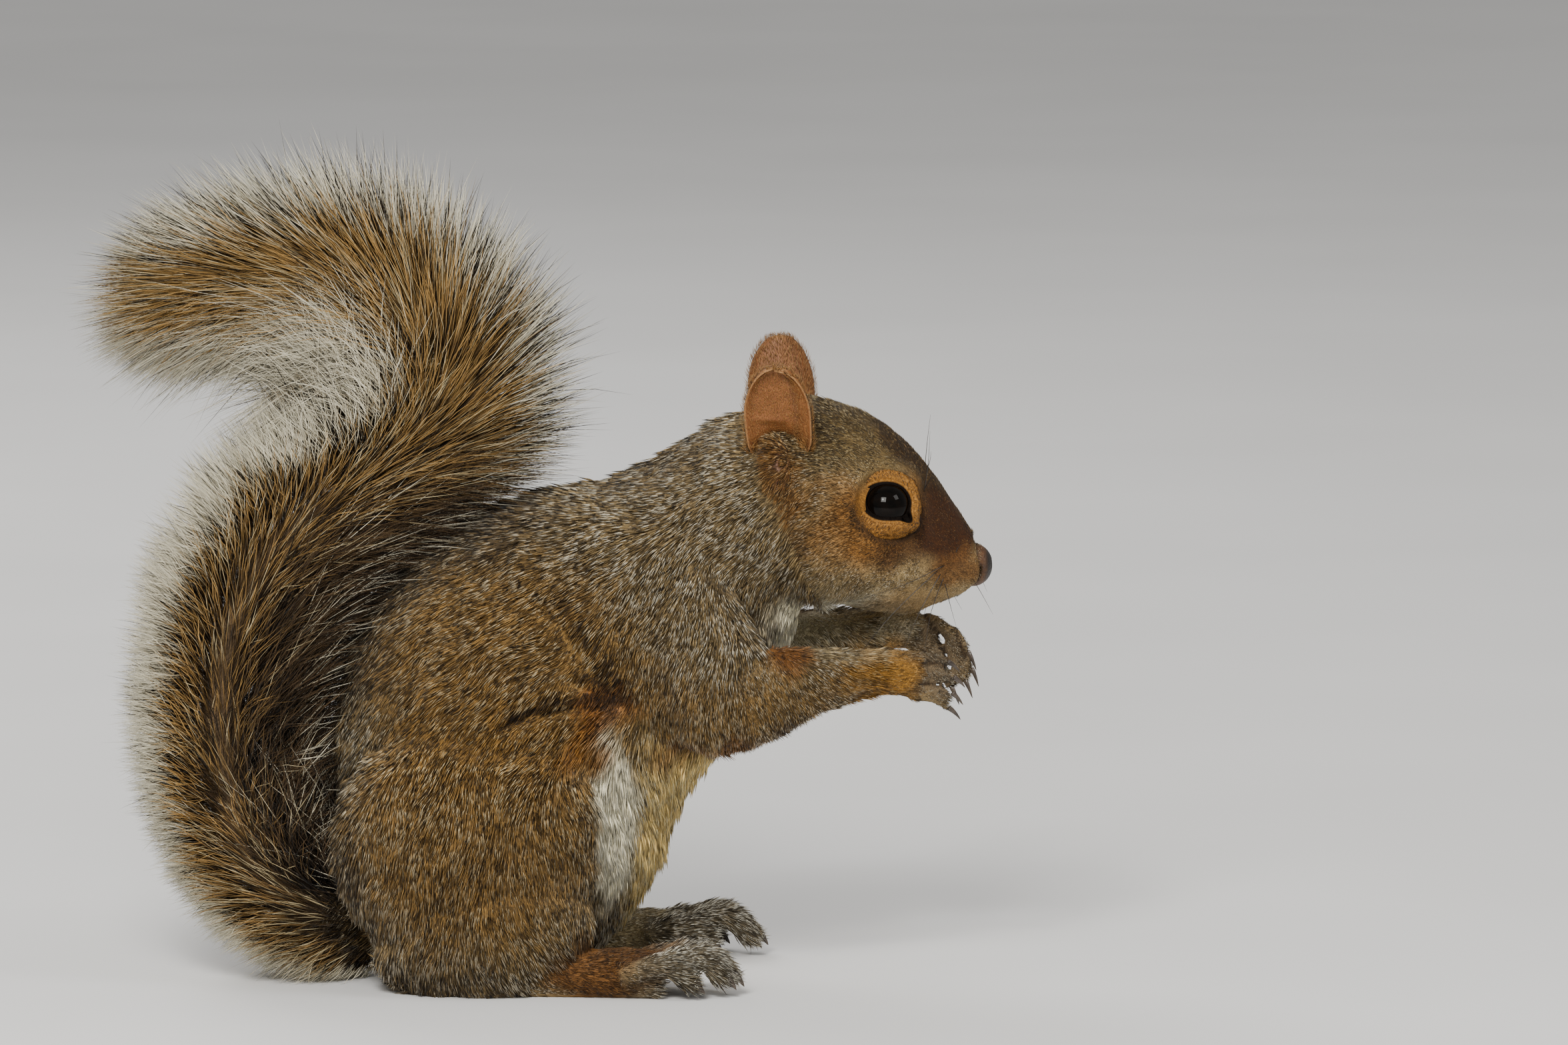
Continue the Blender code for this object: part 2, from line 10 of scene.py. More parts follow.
import bmesh
import bpy
import numpy as np
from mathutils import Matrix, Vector
from mathutils.bvhtree import BVHTree
from mathutils.kdtree import KDTree


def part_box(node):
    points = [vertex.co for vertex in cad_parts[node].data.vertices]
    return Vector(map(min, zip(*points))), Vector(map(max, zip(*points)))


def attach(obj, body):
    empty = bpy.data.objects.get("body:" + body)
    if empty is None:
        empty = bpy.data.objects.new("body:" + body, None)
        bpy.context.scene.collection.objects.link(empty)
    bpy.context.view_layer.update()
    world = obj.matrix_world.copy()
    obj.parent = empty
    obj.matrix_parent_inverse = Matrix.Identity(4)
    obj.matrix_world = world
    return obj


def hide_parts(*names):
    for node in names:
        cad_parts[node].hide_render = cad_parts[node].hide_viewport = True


MM = 0.001
SIDES = {"right": -1.0, "left": 1.0}

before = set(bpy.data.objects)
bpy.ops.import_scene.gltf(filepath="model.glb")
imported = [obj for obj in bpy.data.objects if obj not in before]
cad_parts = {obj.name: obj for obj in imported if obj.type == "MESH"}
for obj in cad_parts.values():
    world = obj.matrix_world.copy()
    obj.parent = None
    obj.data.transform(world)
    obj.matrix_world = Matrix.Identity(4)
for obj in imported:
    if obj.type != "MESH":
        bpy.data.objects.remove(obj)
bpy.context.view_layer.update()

# ---- driving sizes

# CAD nodes that the skin takes the place of, and those of the tail's hair.
FLESH = ["head", "neck", "trunk"]
for _part in ("upper_arm", "forearm", "hand", "thigh", "shank", "hind_foot"):
    FLESH += [f"{_part}_{_side}" for _side in SIDES]
TAIL_NODES = ["tail_base", "tail_middle", "tail_upper", "tail_tip"]

VOXEL = 0.75  # grain of the skin
CUT_CLOSER = 0.45  # growth of each solid that closes the cuts between them
SMOOTHING_LOSS = 0.3  # what smoothing takes off round forms
CREASE_DEPTH = 1.3  # of the creases in the skin
HAIR = {  # length, width, degrees of lift and tufts per square millimetre
    "head": (3.8, 0.15, 15, 6.0),
    "neck": (5.2, 0.18, 17, 6.6),
    "trunk": (6.2, 0.20, 18, 4.4),
    "upper_arm": (5.4, 0.19, 17, 6.0),
    "forearm": (3.6, 0.17, 15, 6.4),
    "hand": (2.0, 0.14, 14, 8.6),
    "thigh": (6.2, 0.20, 18, 5.4),
    "shank": (5.4, 0.20, 17, 5.2),
    "hind_foot": (2.5, 0.16, 15, 6.2),
}
TAIL_FOOT = (9, 0, 18, 0)  # stands in for HAIR where the tail grows from the rump
ZONES = sorted(HAIR) + ["tail"]  # kinds of skin, told apart by the CAD node that lies nearest
TIPS_UP = 0.95  # share of the hairs' rise that lies between the skin and the solids
ROOT_SINK = 0.25  # how deep the roots of the body's tufts lie in the skin
BODY_LEVELS = np.array((0.0, 0.55, 1.0))  # shares of a tuft's length at its root, widest place and tip
BODY_LOCK = (6, 0.24)  # tufts that a lock has, and how far their tips are drawn together
TAIL_LOCK = (5, 0.06)
BAKE_PATCH = 0.003  # of the OFBake map, across one tuft
BLACK_TIP = (0.012, 0.009, 0.007)

EYE_LOOK = (0.11, 0.91, 0.40)  # the way the lids open: ahead, aside and above
EYE_SINK = 2.6  # how far the skin lies in behind the lids
NOSE_SINK = 3.4  # and behind the nose pad
NOSE = ((20.4, 0, -16.6), (4.7, 4.3, 5.1))  # place from the middle between the eyes, and radii
MUZZLE = [  # soft round forms that fill the head's solid out: place from between the eyes, and radii
    ((15.6, 0, -16.6), (4.7, 4.3, 4.7)),
    ((13.8, 3.2, -17.6), (4.6, 3.3, 3.9)),
    ((13.8, -3.2, -17.6), (4.6, 3.3, 3.9)),
]

# The middle line of the tail under its hair (x, z), from the rump to the last bone.
TAIL_CORE = [
    (-30, 12), (-43, 12.5), (-57, 17), (-69, 31), (-75, 51), (-74.5, 72),
    (-69, 90), (-58.5, 104.5), (-44.5, 113.5), (-31.5, 122.5), (-24.5, 134.5), (-26, 147.5),
    (-35, 157.5), (-48, 162.5), (-64, 163.5), (-76, 163),
]
TAIL_RADIUS = (6.5, 2.0)  # of flesh, at the root and at the tip
TAIL_HAIRS = [  # kind, number, levels between root and tip, least and greatest width, and random seed
    ("strong", 9000, np.array((0.0, 0.40, 0.82, 1.0)), (0.16, 0.24), 31),
    ("fine", 43000, np.array((0.0, 0.70, 1.0)), (0.15, 0.25), 32),
]
NO_HIT = 8.0  # length of a tail hair that grows where its solids are open
ACROSS = np.array((0.0, 1.0, 0.0))
# Share of the tail's length, then degrees that hairs lean from it on the outer and the inner side.
TAIL_LEAN = [
    (0.00, 50, 50), (0.12, 70, 84), (0.24, 85, 76), (0.34, 88, 58), (0.42, 90, 46),
    (0.50, 94, 42), (0.60, 100, 40), (0.66, 92, 40), (0.71, 78, 42), (0.78, 64, 50),
    (0.85, 50, 56), (0.93, 36, 44), (1.00, 24, 24),
]

# The lie of the coat, in rows of x and z of a place, and of the way that hair points there.
LIE = {
    "head": [
        (100, 104, -0.8, 0.6), (95, 101, -1, 0.15), (92, 93, -0.95, -0.3), (88, 121, -0.75, 0.65),
        (80, 129, -0.85, 0.5), (72, 134, -0.95, 0.3), (62, 137, -1, 0), (75, 102, -1, -0.05),
        (63, 107, -0.9, -0.4), (55, 114, -0.5, -0.85), (68, 94, -0.6, -0.8), (85, 91, -1, -0.2),
        (50, 130, -0.95, -0.3),
    ],
    "body": [
        (63, 88, -0.2, -1), (48, 135, -0.95, -0.3), (38, 128, -0.95, -0.35), (48, 112, -0.75, -0.65),
        (35, 103, -0.65, -0.75), (20, 118, -1, -0.1), (0, 115, -0.98, -0.2), (-20, 106, -0.85, -0.5),
        (-38, 91, -0.6, -0.8), (-46, 62, -0.2, -1), (-40, 30, -0.35, -0.95), (-30, 8, -0.8, -0.6),
        (0, 98, -0.85, -0.55), (-10, 79, -0.7, -0.7), (15, 89, -0.75, -0.65), (12, 70, -0.6, -0.8),
        (30, 46, 0.25, -1), (24, 20, 0.1, -1), (57, 79, -0.1, -1), (45, 60, 0.1, -1),
    ],
    "arm": [
        (24, 101, -0.6, -0.8), (30, 79, -0.3, -0.95), (40, 66, -0.05, -1), (50, 82, -0.1, -1),
        (55, 71, 0.5, -0.85), (65, 73, 0.8, -0.6), (75, 73, 0.95, -0.3), (84, 74, 1, -0.1),
        (95, 72, 0.9, -0.45),
    ],
    "leg": [
        (0, 76, -0.6, -0.8), (-5, 60, -0.5, -0.85), (-15, 40, -0.15, -1), (-40, 40, -0.1, -1),
        (-35, 12, -0.2, -1), (8, 38, 0.1, -1), (16, 50, 0.1, -1), (14, 22, -0.25, -0.95),
        (0, 10, 0.5, -0.8),
    ],
    "foot": [
        (-15, 5, 0.8, -0.5), (5, 8, 1, -0.1), (30, 8, 1, -0.05), (45, 6, 0.9, -0.4),
    ],
}
# The main way that hair runs over each kind of part, along which the skin's own grain is drawn out.
GRAIN = {
    "head": (0.87, 0, -0.5),
    "body": (0.80, 0, 0.60),
    "arm": (0.55, 0, 0.83),
    "leg": (0.25, 0, 0.97),
    "foot": (1, 0, -0.1),
}
LIE_OF = {  # the table of LIE and GRAIN that each zone of the body reads
    "head": "head",
    "neck": "body",
    "trunk": "body",
    "upper_arm": "arm",
    "forearm": "arm",
    "hand": "arm",
    "thigh": "leg",
    "shank": "leg",
    "hind_foot": "foot",
}

# A kind of coat: its middle colour, pale tips, the shares of pale and of black tips, and its dark band.
COATS = {
    "grey": ((0.40, 0.28, 0.125), (0.84, 0.77, 0.60), 0.48, 0.30, 0.95),
    "ochre": ((0.40, 0.215, 0.050), (0.70, 0.54, 0.28), 0.30, 0.34, 0.95),
    # dark: a darker coat, which the body's patches also use for painted shade.
    "dark": ((0.09, 0.055, 0.022), (0.42, 0.33, 0.20), 0.22, 0.50, 0.95),
    # umber: dark brown, partly the cheek's own colour and partly painted shade under the eye rings and down
    # the sides of the muzzle.
    "umber": ((0.052, 0.018, 0.004), (0.30, 0.16, 0.05), 0.24, 0.30, 0.8),
    "cream": ((0.88, 0.66, 0.26), (0.92, 0.80, 0.46), 0.40, 0.0, 0.0),
    "white": ((0.90, 0.84, 0.62), (0.93, 0.90, 0.74), 0.60, 0.0, 0.0),
    "silver": ((0.50, 0.40, 0.22), (0.76, 0.70, 0.52), 0.45, 0.14, 0.5),
    "rufous": ((0.30, 0.105, 0.018), (0.46, 0.23, 0.07), 0.10, 0.34, 0.7),
    "orange": ((0.40, 0.165, 0.026), (0.56, 0.31, 0.09), 0.14, 0.22, 0.6),
    "tawny": ((0.52, 0.245, 0.032), (0.68, 0.46, 0.15), 0.16, 0.18, 0.6),
    "paw": ((0.20, 0.145, 0.085), (0.80, 0.73, 0.56), 0.42, 0.32, 0.6),
    "toes": ((0.26, 0.215, 0.14), (0.90, 0.86, 0.72), 0.58, 0.28, 0.7),
    "rust": ((0.20, 0.075, 0.013), (0.36, 0.18, 0.045), 0.14, 0.30, 0.8),
    "cheek": ((0.28, 0.115, 0.018), (0.56, 0.33, 0.10), 0.20, 0.28, 0.8),
    "snout": ((0.045, 0.022, 0.006), (0.32, 0.20, 0.07), 0.26, 0.34, 0.7),
    "lip": ((0.34, 0.22, 0.09), (0.62, 0.48, 0.26), 0.30, 0.08, 0.0),
    "ring": ((0.33, 0.145, 0.024), (0.50, 0.28, 0.07), 0.25, 0.06, 0.0),
    "crown": ((0.15, 0.098, 0.034), (0.52, 0.41, 0.20), 0.36, 0.30, 0.95),
    "muzzle": ((0.14, 0.060, 0.015), (0.40, 0.24, 0.08), 0.20, 0.20, 0.6),
}

# Colours of the tail's skin and of its hairs.
TAIL_SKIN = (0.20, 0.13, 0.07)
TAIL_OCHRE = np.array((0.35, 0.210, 0.070))
TAIL_BROWN = np.array((0.22, 0.135, 0.055))
# Black of the hairs on the tail's inner side beside the body: partly their own colour, partly painted shade
# between the tail and the body.
TAIL_BLACK_AND_SHADE = np.array((0.045, 0.030, 0.020))
TAIL_CREAM = np.array((0.62, 0.50, 0.28))  # pale tips on its near and far sides
TAIL_WHITE = np.array((0.86, 0.80, 0.62))  # and on its two edges
# A row of COATS, nearly black, that paints shade into the bottom of creases, between the fingers and along
# the mouth.
CREASE_SHADE = np.array((0.030, 0.013, 0.004, 0.09, 0.05, 0.02, 0.1, 0.5, 1.0))

# Patches of the body: kind, centre (x, distance from the middle plane, z), radii and strength.
BODY_PATCHES = [
    # The first two dark patches, along the top of the back, are partly the coat's darker stripe there and
    # partly painted shade.
    ("dark", (20, 0, 124), (30, 18, 9), 0.4),
    ("dark", (-18, 0, 106), (34, 26, 17), 0.7),
    # Painted shade where the tail lies against the back.
    ("dark", (-44, 0, 86), (20, 26, 22), 0.75),
    ("ochre", (-8, 30, 78), (38, 26, 28), 0.75),
    ("ochre", (-15, 38, 44), (32, 22, 34), 0.75),
    ("ochre", (46, 22, 68), (26, 14, 13), 0.6),
    # Painted shade between the tail and the rump, and low at the back of the body near the floor.
    ("dark", (-46, 12, 28), (10, 30, 30), 0.6),
    ("dark", (-22, 20, 4), (26, 24, 10), 0.5),
    ("cream", (32, 0, 40), (17, 36, 36), 0.95),
    ("white", (16.5, 25, 44), (5, 14, 25), 0.95),
    ("white", (57, 0, 86), (14, 18, 17), 0.95),
    ("rufous", (16, 28, 69), (8, 14, 5), 0.8),
    ("orange", (12, 34, 61), (7, 14, 7), 0.75),
    ("rufous", (56, 20, 80), (7, 9, 5.5), 0.85),
    ("rufous", (38, 24, 59), (13, 12, 5), 0.6),
    ("white", (66, 3, 79), (20, 10, 12), 0.9),
    ("tawny", (77, 15, 73), (16, 9, 9), 0.9),
    ("silver", (70, 14, 80), (14, 9, 4.5), 0.6),
    # Painted shade under the forearm.
    ("dark", (58, 19, 62), (16, 10, 5), 0.65),
    ("paw", (93, 9, 75), (9, 10, 11), 0.95),
    ("toes", (35, 30, 7), (17, 18, 12), 0.95),
]
# The right foot is rufous over the instep, and the left one grey all over.
FOOT_PATCHES = {
    "right": ("rust", (12, 29, 8), (17, 12, 11), 0.9),
    "left": ("silver", (8, 30, 8), (20, 14, 12), 0.9),
}

# Patches of the head, from the middle between the eyes: ahead, aside and above.
HEAD_PATCHES = [
    ("grey", (-28, 0, 12), (14, 26, 22), 0.9),
    ("dark", (-12, 0, 20), (18, 15, 8), 0.6),
    ("cheek", (-25, 17, 6), (8, 9, 15), 0.8),
    ("crown", (-7, 6, 14), (20, 15, 10), 0.9),
    ("cheek", (-13, 13, 6), (8, 8, 5), 0.5),
    ("snout", (9, 6, 6), (9, 11, 12), 0.8),
    ("cheek", (-7, 14, -4.5), (19, 11, 12), 0.9),
    # Under the eye ring: partly the cheek's own dark brown, partly painted shade.
    ("umber", (0, 12, -11.5), (11, 9, 5), 0.75),
    ("silver", (-14, 12, -19), (12, 11, 6.5), 0.75),
    ("white", (-13, 6, -25.5), (17, 13, 8), 0.95),
    ("snout", (5, 0, 13), (9, 12, 8), 0.85),
    ("snout", (12, 0, 4), (9, 10, 9), 0.85),
    ("snout", (18, 0, -4), (8, 9, 8), 0.85),
    # Down the side of the muzzle: partly its own dark brown, partly painted shade.
    ("umber", (12, 7, -7), (12, 10, 9), 1.0),
    ("muzzle", (13, 6, -15.5), (10, 8, 6), 0.9),
    ("lip", (3, 5, -23.5), (13, 10, 5), 0.85),
    ("snout", (20.5, 0, -10.5), (4, 4, 4), 0.8),
]

# Creases of the loose skin over the flank and thigh, as lines of (x, z).
CREASES = [
    [(3, 92.6), (6, 86.5), (10, 80.5), (15, 74.4), (19, 70.4)],
    [(-8, 64.4), (0, 67.4), (8, 68.9), (20, 68.4)],
    [(8, 74.4), (18, 70.4)],
]
FINGER_GAPS = {  # lines of (x, z) between the fingers
    "right": [
        [(89.5, 75.8), (93, 75.0), (96, 73.4)],
        [(89, 71.0), (93, 70.4), (96.5, 69.2)],
        [(88, 67), (93, 63.5)],
    ],
    "left": [[(91, 89), (96.5, 82), (99, 75)], [(88.5, 86), (93, 79.5), (95.5, 72)]],
}
# The line of the mouth, from the middle between the eyes: ahead, aside and above.
MOUTH = [(21.5, 0.2, -21.0), (19, 3.6, -21.6), (14, 6.0, -21.4), (9, 7.4, -20.0), (4, 9.0, -18.6)]

# ---- small tools


def new_object(name, mesh):
    made = bpy.data.objects.new(name, mesh)
    bpy.context.scene.collection.objects.link(made)
    return made


def apply_modifiers(item):
    bpy.context.view_layer.update()
    graph = bpy.context.evaluated_depsgraph_get()
    mesh = bpy.data.meshes.new_from_object(item.evaluated_get(graph))
    item.modifiers.clear()
    item.data = mesh
    return item


def mesh_from(name, points, triangles):
    """A mesh from arrays of points, in millimetres, and of corners of triangles."""
    mesh = bpy.data.meshes.new(name)
    mesh.vertices.add(len(points))
    mesh.vertices.foreach_set("co", (points * MM).astype(np.float32).ravel())
    mesh.loops.add(triangles.size)
    mesh.loops.foreach_set("vertex_index", triangles.astype(np.int32).ravel())
    mesh.polygons.add(len(triangles))
    mesh.polygons.foreach_set("loop_start", np.arange(0, triangles.size, 3, dtype=np.int32))
    mesh.update(calc_edges=True)
    mesh.shade_smooth()
    return mesh


def read_mesh(mesh):
    """Points and normals in millimetres, and triangles, of a mesh."""
    mesh.calc_loop_triangles()
    points = np.empty(len(mesh.vertices) * 3, np.float32)
    mesh.vertices.foreach_get("co", points)
    normals = np.empty(len(mesh.vertices) * 3, np.float32)
    mesh.vertices.foreach_get("normal", normals)
    triangles = np.empty(len(mesh.loop_triangles) * 3, np.int32)
    mesh.loop_triangles.foreach_get("vertices", triangles)
    return points.reshape(-1, 3) / MM, normals.reshape(-1, 3), triangles.reshape(-1, 3)


def write_numbers(mesh, name, values):
    """Stores one number for each point of a mesh, for its material to read."""
    mesh.attributes.new(name, "FLOAT", "POINT").data.foreach_set("value", np.array(values, np.float32))


def write_colours(mesh, name, rows):
    """Stores one colour for each point of a mesh."""
    rows = np.concatenate((rows, np.ones((len(rows), 1))), axis=1).astype(np.float32)
    mesh.attributes.new(name, "FLOAT_COLOR", "POINT").data.foreach_set("color", rows.ravel())


def unit(vectors):
    return vectors / np.maximum(np.linalg.norm(vectors, axis=-1, keepdims=True), 1e-9)


def squared(way, *others):
    """A way made square to others, which are square to one another."""
    flat = np.array(way, float)
    for other in others:
        flat = flat - other * (way @ other)
    return unit(flat)


def ease(x):
    """0 to 1, smoothly, as x goes from 0 to 1."""
    x = np.clip(x, 0.0, 1.0)
    return x * x * (3 - 2 * x)


def box_mm(node):
    low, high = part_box(node)
    return np.array(low) / MM, np.array(high) / MM


def centre_mm(node):
    low, high = box_mm(node)
    return (low + high) / 2


def ripple(points, wavelength, seed):
    """Smooth random numbers over space, mostly between -1 and 1."""
    rng = np.random.default_rng(seed)
    total = np.zeros(len(points))
    for _ in range(5):
        way = unit(rng.normal(size=3))
        wave = wavelength * rng.uniform(0.6, 1.6)
        total += np.sin(points @ way * (2 * math.pi / wave) + rng.uniform(0, 2 * math.pi))
    return total / 2.2


def spline(rows, steps):
    """Rows of numbers made denser by a Catmull-Rom curve through them."""
    rows = np.array(rows, float)
    out = []
    last = len(rows) - 1
    for i in range(last):
        p0, p1, p2, p3 = (rows[min(max(i + k, 0), last)] for k in (-1, 0, 1, 2))
        for t in np.arange(steps) / steps:
            square = (2 * p0 - 5 * p1 + 4 * p2 - p3) * t**2
            cube = (3 * p1 - p0 - 3 * p2 + p3) * t**3
            out.append(0.5 * (2 * p1 + (p2 - p0) * t + square + cube))
    out.append(rows[-1])
    return np.array(out)


def grid_faces(rows, columns, closed=False):
    """Two triangles between each four neighbours in rows of points. Closed rows join their ends."""
    a = np.arange(rows - 1)[:, None] * columns + np.arange(columns if closed else columns - 1)
    b = a - a % columns + (a % columns + 1) % columns
    return np.stack((a, b, b + columns, a, b + columns, a + columns), axis=-1).reshape(-1, 3)


def tube(path, across, over, radii, sides, before, beyond):
    """Points and triangles of a closed tube: rings round a path, and a point at each end."""
    angle = 2 * math.pi * np.arange(sides) / sides
    ring = across[:, None] * np.cos(angle)[None, :, None] + over[:, None] * np.sin(angle)[None, :, None]
    points = (path[:, None] + ring * radii[:, None, None]).reshape(-1, 3)
    count, here = len(points), np.arange(sides)
    last, there = count - sides, (here + 1) % sides
    first_cap = (np.full(sides, count), there, here)
    last_cap = (np.full(sides, count + 1), last + here, last + there)
    caps = np.stack(first_cap + last_cap, axis=1).reshape(-1, 3)
    faces = np.concatenate((grid_faces(len(path), sides, True), caps))
    return np.concatenate((points, [before, beyond])), faces


def turned(faces, side):
    """The triangles of a piece of the right side, turned over for the left side."""
    return faces[:, ::-1] if side == "left" else faces


def in_order(faces):
    """Triangles of faces, the same in each run although Blender lists a sphere's faces in no fixed order."""
    triangles = []
    for corners in faces:
        start = corners.index(min(corners))
        first, *others = corners[start:] + corners[:start]
        triangles += [(first, a, b) for a, b in zip(others[:-1], others[1:])]
    return np.array(sorted(triangles))


def moulded(name, segments, mould):
    """A new object from a sphere of radius 1, and the sphere's points. mould gives their new places."""
    shape = bmesh.new()
    bmesh.ops.create_uvsphere(shape, u_segments=segments, v_segments=segments * 2 // 3, radius=1.0)
    shape.verts.index_update()
    points = np.array([v.co for v in shape.verts])
    places = mould(points)
    for vertex, place in zip(shape.verts, places):
        vertex.co = place * MM
    bmesh.ops.recalc_face_normals(shape, faces=shape.faces)
    faces = in_order([[v.index for v in f.verts] for f in shape.faces])
    shape.free()
    return new_object(name, mesh_from(name, places, faces)), points


# ---- the head's own directions

EYES = {side: centre_mm("eye_" + side) for side in SIDES}
EYE_LOW, EYE_HIGH = box_mm("eye_right")
EYE_RADIUS = float((EYE_HIGH - EYE_LOW)[0]) / 2
HEAD_MIDDLE = (EYES["left"] + EYES["right"]) / 2
HEAD_LEFT = unit(EYES["left"] - EYES["right"])
HEAD_AHEAD = squared((1.0, 0, 0), HEAD_LEFT)
HEAD_UP = np.cross(HEAD_AHEAD, HEAD_LEFT)
HEAD_AXES = np.stack((HEAD_AHEAD, HEAD_LEFT, HEAD_UP))


def head_place(ahead, aside, above):
    """A point from the middle between the eyes."""
    return HEAD_MIDDLE + np.array((ahead, aside, above)) @ HEAD_AXES


def head_numbers(points):
    """How far ahead, aside and above the middle between the eyes points are."""
    return (points - HEAD_MIDDLE) @ HEAD_AXES.T


def half_head(points):
    """The same, with the right side of the head folded over the left."""
    place = head_numbers(points)
    place[:, 1] = np.abs(place[:, 1])
    return place


# ---- the tail's middle line


class TailLine:
    """Places, directions and radii along the tail's middle line."""

    def __init__(self):
        flat = spline(TAIL_CORE, 12)
        self.points = np.insert(flat, 1, 0.0, axis=1)
        steps = np.linalg.norm(np.diff(self.points, axis=0), axis=1)
        along = np.concatenate(([0.0], np.cumsum(steps)))
        self.share = along / along[-1]
        self.ways = unit(np.gradient(self.points, axis=0))

    def at(self, share):
        """Place, direction and radius at shares of the length."""
        rows = np.hstack((self.points, self.ways)).T
        found = np.stack([np.interp(share, self.share, row) for row in rows], axis=-1)
        radius = TAIL_RADIUS[0] + (TAIL_RADIUS[1] - TAIL_RADIUS[0]) * share
        return found[:, :3], unit(found[:, 3:]), radius

    def nearest(self, points):
        """Distance from points to the line, and the share of its length there."""
        best = np.full(len(points), 1e9)
        share = np.zeros(len(points))
        for place, here in zip(self.points[::3], self.share[::3]):
            distance = np.linalg.norm(points - place, axis=1)
            closer = distance < best
            best[closer] = distance[closer]
            share[closer] = here
        return best, share


TAIL_LINE = TailLine()


def tail_tube():
    """Points and triangles of the tail's flesh, a closed tube along its middle line."""
    place, way, radius = TAIL_LINE.at(np.linspace(0.0, 1.0, 120))
    across = np.tile(ACROSS, (len(place), 1))
    over = unit(np.cross(across, way))
    return tube(place, across, over, radius, 16, place[0] - way[0] * 2, place[-1] + way[-1] * 2)


# ---- the skin


def pushed_out(node, distance):
    """Points and triangles of a CAD node, grown by a distance, so that the cuts between nodes close."""
    shape = bmesh.new()
    shape.from_mesh(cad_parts[node].data)
    bmesh.ops.remove_doubles(shape, verts=shape.verts, dist=0.02 * MM)
    bmesh.ops.triangulate(shape, faces=shape.faces)
    bmesh.ops.recalc_face_normals(shape, faces=shape.faces)
    shape.normal_update()
    points = np.array([v.co + v.normal * distance * MM for v in shape.verts]) / MM
    faces = np.array([[v.index for v in f.verts] for f in shape.faces])
    shape.free()
    return points, faces


def joined(parts):
    """One array of points and one of triangles from several."""
    points, faces = zip(*parts)
    starts = np.cumsum([0] + [len(p) for p in points[:-1]])
    return np.concatenate(points), np.concatenate([f + start for f, start in zip(faces, starts)])


def remeshed(name, points, faces, voxel, smooth):
    """A new object with one even, closed surface round all the shapes."""
    item = new_object(name, mesh_from(name, points, faces))
    remesh = item.modifiers.new("remesh", "REMESH")
    remesh.mode = "VOXEL"
    remesh.voxel_size = voxel * MM
    relax = item.modifiers.new("relax", "SMOOTH")
    relax.factor = 0.5
    relax.iterations = smooth
    return apply_modifiers(item)


def neighbour_mean(values, edges, count, rounds):
    """Numbers at the points of a mesh, evened out along its edges."""
    values = values.astype(float)
    share = np.bincount(edges.ravel(), minlength=count) + 1.0
    flat = values.reshape(count, -1)
    for _ in range(rounds):
        total = flat.copy()
        for k in range(flat.shape[1]):
            total[:, k] += np.bincount(edges[:, 0], flat[edges[:, 1], k], minlength=count)
            total[:, k] += np.bincount(edges[:, 1], flat[edges[:, 0], k], minlength=count)
        flat = total / share[:, None]
    return flat.reshape(values.shape)


def mesh_edges(mesh):
    edges = np.empty(len(mesh.edges) * 2, np.int32)
    mesh.edges.foreach_get("vertices", edges)
    return edges.reshape(-1, 2)


class FleshMap:
    """Tells which CAD node of flesh lies nearest to a point."""

    def __init__(self):
        parts = [pushed_out(node, 0.0) for node in FLESH]
        points, faces = joined(parts)
        self.node = np.concatenate([np.full(len(f), i) for i, (_, f) in enumerate(parts)])
        self.tree = BVHTree.FromPolygons(points.tolist(), faces.tolist())

    def nodes(self, points):
        return np.array([self.node[self.tree.find_nearest(p)[2]] for p in points.tolist()])


FLESH_MAP = FleshMap()
ZONE_OF = [ZONES.index(node.removesuffix("_right").removesuffix("_left")) for node in FLESH]


def in_zone(zone, *names):
    """Which points lie in any of the named zones."""
    return np.isin(zone, [ZONES.index(name) for name in names])


def zones_of(points):
    """The zone of the body, as a place in ZONES, at each point of the skin."""
    zone = np.array(ZONE_OF)[FLESH_MAP.nodes(points)]
    distance, share = TAIL_LINE.nearest(points)
    on_tail = (distance < TAIL_RADIUS[0] + 1.5) & (share > 0.09) & (points[:, 0] < -44)
    zone[on_tail] = ZONES.index("tail")
    return zone


def eye_distance(points):
    """Distance from each point to the nearer eye's centre."""
    return np.minimum(*(np.linalg.norm(points - EYES[side], axis=1) for side in SIDES))


def eye_axes(side):
    """The way an eye looks, and the ways to the front and to the top of its lids."""
    ahead, aside, above = EYE_LOOK
    look = unit(np.array((ahead, SIDES[side] * aside, above)) @ HEAD_AXES)
    front = squared(HEAD_AHEAD, look)
    return look, front, squared(HEAD_UP, look, front)


def from_eye(points, side):
    """How far points are in front of an eye's middle, and how far from the line that it looks along."""
    look = eye_axes(side)[0]
    offset = points - EYES[side]
    level = offset @ look
    return level, np.linalg.norm(offset - level[:, None] * look, axis=1)


def from_nose(points):
    """Distance from the middle of the nose pad, in its radii."""
    centre, radii = NOSE
    return np.linalg.norm((head_numbers(points) - centre) / radii, axis=1)


def round_eye(points):
    """How far to the front of, above and out from the nearer eye's centre points are, by its lids."""
    numbers = {}
    for side in SIDES:
        look, front, top = eye_axes(side)
        numbers[side] = (points - EYES[side]) @ np.stack((front, top, look)).T
    nearer = head_numbers(points)[:, 1] > 0
    return np.where(nearer[:, None], numbers["left"], numbers["right"])


def head_hair(points):
    """Share of full length of hair on the head, from the nose back."""
    ahead = head_numbers(points)[:, 0]
    share = 0.32 + 0.68 * ease((14 - ahead) / 46)
    near_eye = 1 - ease((eye_distance(points) - EYE_RADIUS - 0.5) / 5.5)
    return share * (1 - 0.62 * near_eye)


def line_distance(points, rows):
    """Distance from points to a bent line, in as many directions as the line has numbers."""
    best = np.full(len(points), 1e9)
    rows = np.array(rows, float)
    for a, b in zip(rows[:-1], rows[1:]):
        share = np.clip((points - a) @ (b - a) / np.sum((b - a) ** 2), 0, 1)
        best = np.minimum(best, np.linalg.norm(points - a - share[:, None] * (b - a), axis=1))
    return best


